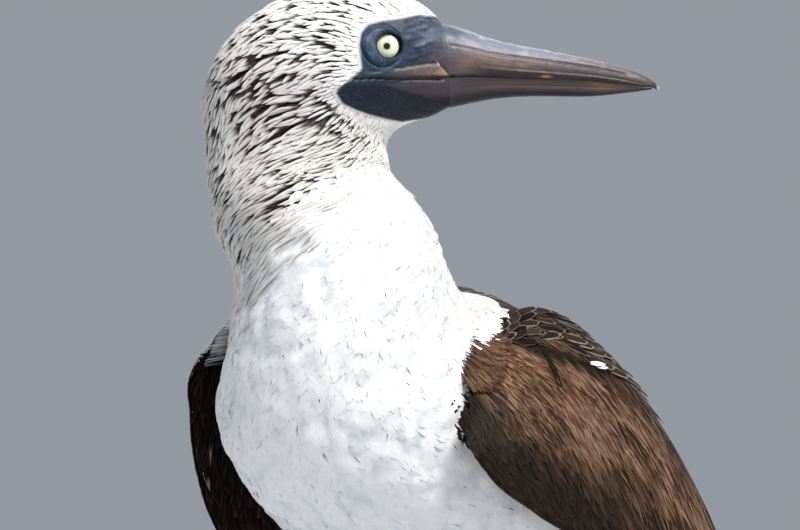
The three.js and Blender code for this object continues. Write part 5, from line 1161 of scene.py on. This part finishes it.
# ------------------------------------------------------------------ bill
def horn_material():
    m, nt, b = new_mat('bill_horn'); L = nt.links.new
    at = node(nt, 'ShaderNodeAttribute', attribute_name='col'); uv = node(nt, 'ShaderNodeUVMap', uv_map='Vane')
    mp = node(nt, 'ShaderNodeMapping'); mp.inputs['Scale'].default_value = (5.0, 42.0, 1); L(uv.outputs['UV'], mp.inputs['Vector'])
    n1 = node(nt, 'ShaderNodeTexNoise', ins={'Scale': 1.0, 'Detail': 6.0, 'Roughness': 0.65, 'Distortion': 0.35}); L(mp.outputs['Vector'], n1.inputs['Vector'])
    tc = node(nt, 'ShaderNodeTexCoord'); n2 = node(nt, 'ShaderNodeTexNoise', ins={'Scale': 420.0, 'Detail': 4.0}); L(tc.outputs['Object'], n2.inputs['Vector'])
    mr = node(nt, 'ShaderNodeMapRange', ins={'From Min': 0.3, 'From Max': 0.7, 'To Min': 0.72, 'To Max': 1.30}); L(n1.outputs['Fac'], mr.inputs['Value'])
    mul = node(nt, 'ShaderNodeVectorMath', operation='SCALE'); L(at.outputs['Color'], mul.inputs[0]); L(mr.outputs['Result'], mul.inputs['Scale']); L(mul.outputs['Vector'], b.inputs['Base Color'])
    ro = node(nt, 'ShaderNodeMapRange', ins={'From Min': 0.3, 'From Max': 0.7, 'To Min': 0.40, 'To Max': 0.56}); L(n2.outputs['Fac'], ro.inputs['Value']); L(ro.outputs['Result'], b.inputs['Roughness'])
    bp = node(nt, 'ShaderNodeBump', ins={'Strength': 0.45, 'Distance': 0.00025}); L(n1.outputs['Fac'], bp.inputs['Height']); L(bp.outputs['Normal'], b.inputs['Normal'])
    b.inputs['Specular IOR Level'].default_value = 0.5
    return m
def make_bill(upper, mat):
    rows = BILL if upper else BILL[:-1]; nu, na = 230, 90
    k = np.arange(len(rows), dtype=float); x = np.linspace(0, len(rows)-1, nu-6); v = catmull(k, rows, x)
    back = np.repeat(v[:1], 6, 0); back[:, 0] -= np.array([7, 5.5, 4, 2.8, 1.7, 0.7]); back[:, 4] -= np.array([2.4, 1.6, 1.0, 0.6, 0.3, 0.1])
    back[:, 1] -= np.array([3, 2.2, 1.5, 0.9, 0.4, 0.1]); back[:, 3] += np.array([3, 2.2, 1.5, 0.9, 0.4, 0.1]); v = np.concatenate([back, v]); x = np.concatenate([np.zeros(6), x])
    u, zc, zt, zl, w = v.T
    edge = zt+0.15 if upper else zt-0.15
    far = zc if upper else np.minimum(zl, edge-0.6)
    ww = w if upper else w*0.93
    a = np.linspace(0, pi, na)
    e1, e2 = (0.8, 0.9) if upper else (0.7, 0.85)
    Y = ww[:, None]*spow(np.cos(a), e1)[None]; q = spow(np.sin(a), e2)[None]
    Z = edge[:, None]+(far-edge)[:, None]*q
    lean = (Z-403)*math.tan(rad(-5.1))*np.maximum(0, 1-x/3)[:, None]
    U = u[:, None]+0.35+lean
    P = head_point(U, HEAD_OUT+Y, Z)
    S = Surf(P, False)
    c = P.mean(1, keepdims=True)
    if ((S.N*(P-c)).sum(-1)).mean() < 0: S.N = -S.N
    L = np.clip((u-30.9)/(u[-1]-30.9), 0, 1); LL = np.repeat(L[:, None], na, 1)
    hgt = q*np.ones_like(LL)
    d = np.zeros_like(LL)
    ns = value_noise(P*np.array([1, 1, 1.0]), 5.0, 91)
    if upper:
        # long groove under the culmen and the plates beside it
        line = 0.60-0.02*np.cos(LL*5)
        g = (hgt-line)*(far-edge)[:, None]
        d -= 0.55*np.exp(-(g/0.42)**2)*smooth(0.0, 0.05, LL)*(1-smooth(0.78, 0.90, LL))
        d += 0.22*np.exp(-((g-1.0)/0.6)**2)*smooth(0.02, 0.1, LL)*(1-smooth(0.7, 0.88, LL))
        g2 = (hgt-0.22-0.05*LL)*(far-edge)[:, None]
        d -= 0.28*np.exp(-(g2/0.4)**2)*smooth(0.06, 0.2, LL)*(1-smooth(0.8, 0.95, LL))
        # scratched plates of the ridge
        rough = value_noise(np.stack([LL*26, hgt*7, ns*0.3], -1), 1.0, 94)
        d -= 0.30*np.clip(rough, 0, 1)*smooth(line, line+0.06, hgt)*(1-smooth(0.80, 0.95, LL))
        d += 0.10*np.sin(LL*520+ns)*np.exp(-(hgt/0.05)**2)*smooth(0.35, 0.5, LL)
    else:
        g = (hgt-0.42)*(far-edge)[:, None]
        d -= 0.30*np.exp(-(g/0.5)**2)*smooth(0.02, 0.1, LL)*(1-smooth(0.75, 0.9, LL))
    d -= 0.12*np.clip(value_noise(np.stack([LL*60, hgt*9, ns*0.4], -1), 1.0, 92)-0.25, 0, 1)
    P = P+S.N*(np.minimum(d, 0.22)*np.minimum(1, (ww/3.0))[:, None])[..., None]
    # inner face: slightly hollow, with the mouth's rim
    ni = 14; t = np.linspace(-1, 1, ni+2)[1:-1]
    Yi = ww[:, None]*t[None]; Zi = edge[:, None]+(np.sign(far-edge)*np.minimum(1.2, np.abs(far-edge)*0.25))[:, None]*(1-t**4)[None]
    leani = (Zi-403)*math.tan(rad(-5.1))*np.maximum(0, 1-x/3)[:, None]
    Pi = head_point(u[:, None]+0.35+leani, HEAD_OUT+Yi, Zi)
    G = np.concatenate([P, Pi], 1); nf = G.shape[1]
    # colours
    LLg = np.repeat(L[:, None], nf, 1); H = np.concatenate([hgt, np.zeros((nu, ni))], 1); n1 = fbm(G, 8.0, 93)
    # colour noise drawn out along the bill
    gu, gw, gz = head_uwz(G); n2 = fbm(np.stack([gu*0.22, gw, gz], -1), 1.6, 96)
    C = horn_colours(LLg, H, n1, n2, upper)
    if upper:
        chip = np.exp(-((gu-74.9)/2.2)**2)*np.exp(-((gz-(edge[:, None]+0.6))/0.55)**2); C = mix(C, lin(186, 104, 54), chip*0.9)
        pale = smooth(0.25, 0.8, value_noise(np.stack([LLg*30, H*12, n1], -1), 1.0, 97))*smooth(0.62, 0.72, H)*(1-smooth(0.75, 0.95, LLg))
        C = mix(C, lin(168, 174, 188), pale*0.4)
    k = int(nu*0.14); share = horn_share(G[:k]); face = skin_colour(G[:k], None, 0, np.ones(share.shape), 0*share, 0*share)
    C[:k] = face
    C[:, na:] = lin(60, 40, 40)
    V = np.concatenate([G.reshape(-1, 3), G[0].mean(0)[None], G[-1].mean(0)[None]]); j = np.arange(nf); kk = (j+1) % nf
    tr = np.concatenate([np.stack([kk, j, np.full(nf, nu*nf)], -1), np.stack([(nu-1)*nf+j, (nu-1)*nf+kk, np.full(nf, nu*nf+1)], -1)])
    CC = np.concatenate([C.reshape(-1, 3), C[0].mean(0)[None], C[-1].mean(0)[None]])
    ring = np.linspace(0, 1, nf); uv = np.stack([LLg*1.0, np.repeat(ring[None], nu, 0)], -1).reshape(-1, 2); uv = np.concatenate([uv, [[0, 0.5], [1, 0.5]]])
    name = 'upper' if upper else 'lower'
    o = mesh_object(f'mandible_{name}', V, grid_quads(nu, nf, True), CC, {'Vane': uv}, mat, tris=tr)
    fix_normals(o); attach(o, 'root'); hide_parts(f'bill_{name}')
    return o

# ------------------------------------------------------------------ feet
HEEL = np.array([38.5, 71, 9.0])
TOES = [(15, 84*0.98, 4.0, 4), (-4, 84.0, 4.2, 3), (-27, 84*0.74, 3.9, 2), (-78, 84*0.36, 3.2, 1)]
def limb_mesh(points, sides, flat, name):
    pts = np.array(points, float); n = len(pts); G = []
    for i in range(n):
        a, b = pts[max(i-1, 0)], pts[min(i+1, n-1)]; t = b[:3]-a[:3]; t /= np.linalg.norm(t)
        ref = np.array([0, 1.0, 0]) if abs(t[2]) > 0.8 else np.array([0, 0, 1.0])
        s = np.cross(t, ref); s /= np.linalg.norm(s); m = np.cross(s, t); q = 2*pi*(np.arange(sides)+0.5)/sides
        G.append(pts[i, :3]+np.cos(q)[:, None]*s*pts[i, 3]+np.sin(q)[:, None]*m*pts[i, 3]*flat)
    return closed_tube(np.array(G), name)
def resample(pts, n):
    pts = np.array(pts, float); k = np.arange(len(pts), dtype=float); return catmull(k, pts, np.linspace(0, len(pts)-1, n))
def foot_material():
    m, nt, b = new_mat('foot_skin'); L = nt.links.new
    at = node(nt, 'ShaderNodeAttribute', attribute_name='col'); tc = node(nt, 'ShaderNodeTexCoord')
    v1 = node(nt, 'ShaderNodeTexVoronoi', ins={'Scale': 620.0}); L(tc.outputs['Object'], v1.inputs['Vector'])
    n1 = node(nt, 'ShaderNodeTexNoise', ins={'Scale': 160.0, 'Detail': 5.0}); L(tc.outputs['Object'], n1.inputs['Vector'])
    mr = node(nt, 'ShaderNodeMapRange', ins={'From Min': 0.3, 'From Max': 0.7, 'To Min': 0.82, 'To Max': 1.16}); L(n1.outputs['Fac'], mr.inputs['Value'])
    mul = node(nt, 'ShaderNodeVectorMath', operation='SCALE'); L(at.outputs['Color'], mul.inputs[0]); L(mr.outputs['Result'], mul.inputs['Scale']); L(mul.outputs['Vector'], b.inputs['Base Color'])
    bp = node(nt, 'ShaderNodeBump', ins={'Strength': 0.6, 'Distance': 0.0003}); L(v1.outputs['Distance'], bp.inputs['Height']); L(bp.outputs['Normal'], b.inputs['Normal'])
    b.inputs['Roughness'].default_value = 0.42; b.inputs['Specular IOR Level'].default_value = 0.45
    return m
def make_foot(side, mat, claw_mat):
    m = lambda p: [side*p[0], p[1], p[2]+FLOOR, *p[3:]]
    name = 'left' if side > 0 else 'right'; parts = []
    leg = [[38.5, 84, 66, 5.0], [38.5, 84, 61, 5.6], [38.5, 84, 57, 6.1], [38.5, 81, 50, 5.0], [38.5, 77.5, 34, 4.4], [38.5, 74, 19, 4.8], [38.5, 71.5, 9, 6.2], [38.5, 70, 3, 5.5]]
    parts.append(limb_mesh([m(p) for p in resample(leg, 30)], 24, 1.0, 'p'))
    tips = []; axes_ = []
    for deg, ln, r, joints in TOES:
        d = np.array([math.sin(rad(deg)), -math.cos(rad(deg))]); pts = []
        for i in range(49):
            s = i/48; bump = 1+0.10*math.cos(2*pi*s*joints)
            rr = r*(1-0.38*s)*bump
            pts.append(m([HEEL[0]+d[0]*s*ln, HEEL[1]-1+d[1]*s*ln, rr*0.8+(1-s)**3*3.2, rr]))
        parts.append(limb_mesh(pts, 20, 0.9, 'p')); tips.append([HEEL[0]+d[0]*ln, HEEL[1]-1+d[1]*ln]); axes_.append((d, ln, r))
        c = 8.5*(0.75 if joints == 1 else 1.0); tip = tips[-1]; cl = []
        for s in np.linspace(0, 1, 14):
            cl.append(m([tip[0]+d[0]*(s*c-1.5), tip[1]+d[1]*(s*c-1.5), 2.9-1.95*s*s, 1.9*(1-0.72*s)*(0.9 if s < 0.01 else 1)]))
        co = limb_mesh(cl, 14, 1.0, f'claw_{name}_{len(tips)}'); co.data.materials.append(claw_mat); co.data.polygons.foreach_set('use_smooth', np.ones(len(co.data.polygons), bool))
        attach(co, 'root')
    # web: fine grid between the toes, scooped at its free edge
    outline = [[HEEL[0]+3.5, HEEL[1]+3], tips[0]]
    for i in range(3):
        a, b = np.array(tips[i]), np.array(tips[i+1]); mid = (a+b)/2; c = mid+(HEEL[:2]-mid)*(0.2 if i < 2 else 0.3)
        for t in np.linspace(0, 1, 26)[1:]: outline.append(list((1-t)**2*a+2*t*(1-t)*c+t*t*b))
    outline.append([HEEL[0]-3, HEEL[1]+3]); outline = np.array(outline)
    bm = bmesh.new(); lo = [bm.verts.new(world(np.array(m([*p, 0.0])))) for p in outline]; f = bm.faces.new(lo)
    ex = bmesh.ops.extrude_face_region(bm, geom=[f]); up = [g for g in ex['geom'] if isinstance(g, bmesh.types.BMVert)]
    bmesh.ops.translate(bm, verts=up, vec=Vector((0, 0, 0.0020))); bmesh.ops.triangulate(bm, faces=bm.faces); bmesh.ops.recalc_face_normals(bm, faces=bm.faces)
    me = bpy.data.meshes.new('web'); bm.to_mesh(me); bm.free(); w = bpy.data.objects.new('web', me); bpy.context.scene.collection.objects.link(w); parts.append(w)
    bm = bmesh.new()
    for p in parts: bm.from_mesh(p.data)
    me = bpy.data.meshes.new(f'foot_{name}_skin'); bm.to_mesh(me); bm.free()
    for p in parts: bpy.data.objects.remove(p)
    o = bpy.data.objects.new(f'foot_skin_{name}', me); bpy.context.scene.collection.objects.link(o)
    rm = o.modifiers.new('r', 'REMESH'); rm.mode = 'VOXEL'; rm.voxel_size = 0.00075
    sm = o.modifiers.new('s', 'SMOOTH'); sm.factor = 0.5; sm.iterations = 4
    bpy.context.view_layer.update(); dg = bpy.context.evaluated_depsgraph_get(); nm = bpy.data.meshes.new_from_object(o.evaluated_get(dg)); o.modifiers.clear(); o.data = nm
    n = len(nm.vertices); P = np.empty(n*3, np.float32); nm.vertices.foreach_get('co', P); P = P.reshape(-1, 3).astype(float)*1000-SHIFT
    N = np.empty(n*3, np.float32); nm.vertices.foreach_get('normal', N); N = N.reshape(-1, 3).astype(float)
    Q = P*np.array([side, 1, 1.0]); z = Q[:, 2]-FLOOR
    # scutes across the toes and down the front of the leg, and folds of the web
    disp = np.zeros(n); toe = np.zeros(n); on_leg = smooth(9, 14, z)
    for d, ln, r in axes_:
        v = Q[:, :2]-(HEEL[:2]-[0, 1]); al = v@d; ac = np.abs(v@np.array([-d[1], d[0]])); near = np.exp(-(ac/(r*1.0))**4)*(al > -2)*(al < ln+3)
        toe = np.maximum(toe, near*smooth(1.6, 3.2, z)*(1-on_leg)); disp -= 0.20*near*smooth(0.8, 2.5, z)*(1-on_leg)*np.exp(-(((al/1.9) % 1.0-0.5)/0.16)**2)
    front = smooth(0.1, 0.6, -N[:, 1]); disp -= 0.22*on_leg*front*np.exp(-(((z/2.6) % 1.0-0.5)/0.14)**2)*(1-smooth(54, 60, z))
    web = (1-toe)*(1-on_leg); fan = np.arctan2(Q[:, 0]-HEEL[0], -(Q[:, 1]-HEEL[1]))
    disp += web*0.16*np.sin(fan*70+1.5*value_noise(Q, 8, 101))*smooth(12, 30, np.hypot(Q[:, 0]-HEEL[0], Q[:, 1]-HEEL[1]))*(N[:, 2] > 0.2)
    P = P+N*disp[:, None]; P[:, 2] = np.maximum(P[:, 2], FLOOR); P[:, 2] = np.where(P[:, 2] < FLOOR+0.35, FLOOR, P[:, 2])
    nm.vertices.foreach_set('co', world(P).astype(np.float32).ravel())
    blue, deep, pale = lin(42, 150, 192), lin(22, 104, 150), lin(96, 184, 208)
    # painted shade: a deeper blue in the grooves between the scutes
    ns = fbm(P, 9, 102); C = mix(np.broadcast_to(blue, P.shape), pale, np.clip(web*0.45+0.3*ns, 0, 1)); C = mix(C, deep, np.clip(np.exp(-(disp+0.18)**2/0.006)*0.6*(toe+on_leg*front), 0, 1))
    C = mix(C, deep, smooth(40, 62, z)*0.45); C = mix(C, lin(120, 128, 126), smooth(0.3, 0.0, z)*0.4)
    at = nm.attributes.new('col', 'FLOAT_COLOR', 'POINT'); c4 = np.ones((n, 4), np.float32); c4[:, :3] = np.clip(C, 0, 1); at.data.foreach_set('color', c4.ravel())
    nm.materials.clear(); nm.materials.append(mat); nm.polygons.foreach_set('use_smooth', np.ones(len(nm.polygons), bool))
    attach(o, 'root'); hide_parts(f'foot_{name}')
def claw_material():
    m, nt, b = new_mat('claw_horn'); L = nt.links.new
    tc = node(nt, 'ShaderNodeTexCoord'); n1 = node(nt, 'ShaderNodeTexNoise', ins={'Scale': 500.0, 'Detail': 4.0}); L(tc.outputs['Object'], n1.inputs['Vector'])
    cr = node(nt, 'ShaderNodeValToRGB'); cr.color_ramp.elements[0].color = (*lin(48, 56, 62), 1); cr.color_ramp.elements[1].color = (*lin(120, 130, 134), 1)
    L(n1.outputs['Fac'], cr.inputs['Fac']); L(cr.outputs['Color'], b.inputs['Base Color']); b.inputs['Roughness'].default_value = 0.35
    return m

# ------------------------------------------------------------------ stage, light and camera
def stage():
    bpy.ops.mesh.primitive_circle_add(vertices=96, radius=3.2, fill_type='NGON', location=(0, 0, 0)); o = bpy.context.object; o.name = 'floor'
    m, nt, b = new_mat('floor'); L = nt.links.new; tc = node(nt, 'ShaderNodeTexCoord'); n1 = node(nt, 'ShaderNodeTexNoise', ins={'Scale': 60.0, 'Detail': 5.0}); L(tc.outputs['Object'], n1.inputs['Vector'])
    cr = node(nt, 'ShaderNodeValToRGB'); cr.color_ramp.elements[0].color = (0.56, 0.57, 0.58, 1); cr.color_ramp.elements[1].color = (0.62, 0.63, 0.64, 1)
    L(n1.outputs['Fac'], cr.inputs['Fac']); L(cr.outputs['Color'], b.inputs['Base Color']); b.inputs['Roughness'].default_value = 0.85; o.data.materials.append(m)
    w = bpy.data.worlds.new('studio'); bpy.context.scene.world = w; w.use_nodes = True; bg = w.node_tree.nodes['Background']
    bg.inputs['Color'].default_value = (0.70, 0.76, 0.84, 1); bg.inputs['Strength'].default_value = 0.42
    centre = Vector(world(np.array([0, 0, 300.0])))
    def area(name, az, el, dist, size, power, colour=(1, 1, 1)):
        a, e = rad(az), rad(el); d = Vector((math.sin(a)*math.cos(e), -math.cos(a)*math.cos(e), math.sin(e)))
        l = bpy.data.lights.new(name, 'AREA'); l.shape = 'DISK'; l.size = size; l.energy = power; l.color = colour
        ob = bpy.data.objects.new(name, l); ob.location = centre+d*dist; ob.rotation_mode = 'QUATERNION'; ob.rotation_quaternion = (-d).to_track_quat('-Z', 'Y'); ob.visible_camera = False
        bpy.context.scene.collection.objects.link(ob)
    area('key', 39+26, 50, 2.2, 0.5, 48, (1.0, 0.975, 0.94))
    area('top', 39+45, 57, 2.2, 0.24, 13, (1.0, 0.985, 0.96))
    area('fill', 39-40, 24, 2.4, 1.6, 7, (0.86, 0.92, 1.0))
    area('rim', 39+175, 45, 2.4, 1.2, 16, (1.0, 0.98, 0.95))
    cam = bpy.data.cameras.new('camera'); co = bpy.data.objects.new('camera', cam); bpy.context.scene.collection.objects.link(co)
    u0, z0 = (400-378)/2.23, 262+(380-265)/2.23
    co.location = Vector(world(head_point(u0, 3000+20, z0))); co.rotation_mode = 'QUATERNION'; co.rotation_quaternion = Vector(-K).to_track_quat('-Z', 'Y')
    cam.sensor_width = 36; cam.lens = 36*3000/(800/2.23); cam.clip_start = 0.1; cam.clip_end = 60
    bpy.context.scene.camera = co
    bpy.context.scene.view_settings.view_transform = 'Standard'

# ------------------------------------------------------------------ assembly
stage()
make_skin()
em = eye_material()
for sd in (1, -1): make_eye(sd, em)
hm = horn_material(); make_bill(True, hm); make_bill(False, hm)
fm, cm = foot_material(), claw_material()
for sd in (1, -1): make_foot(sd, fm, cm)
coat_head()
coat_body()
for sd in (1, -1): coat_wing(sd); coat_wing_front(sd)
coat_tail()
for sd in (1, -1): coat_thigh(sd)
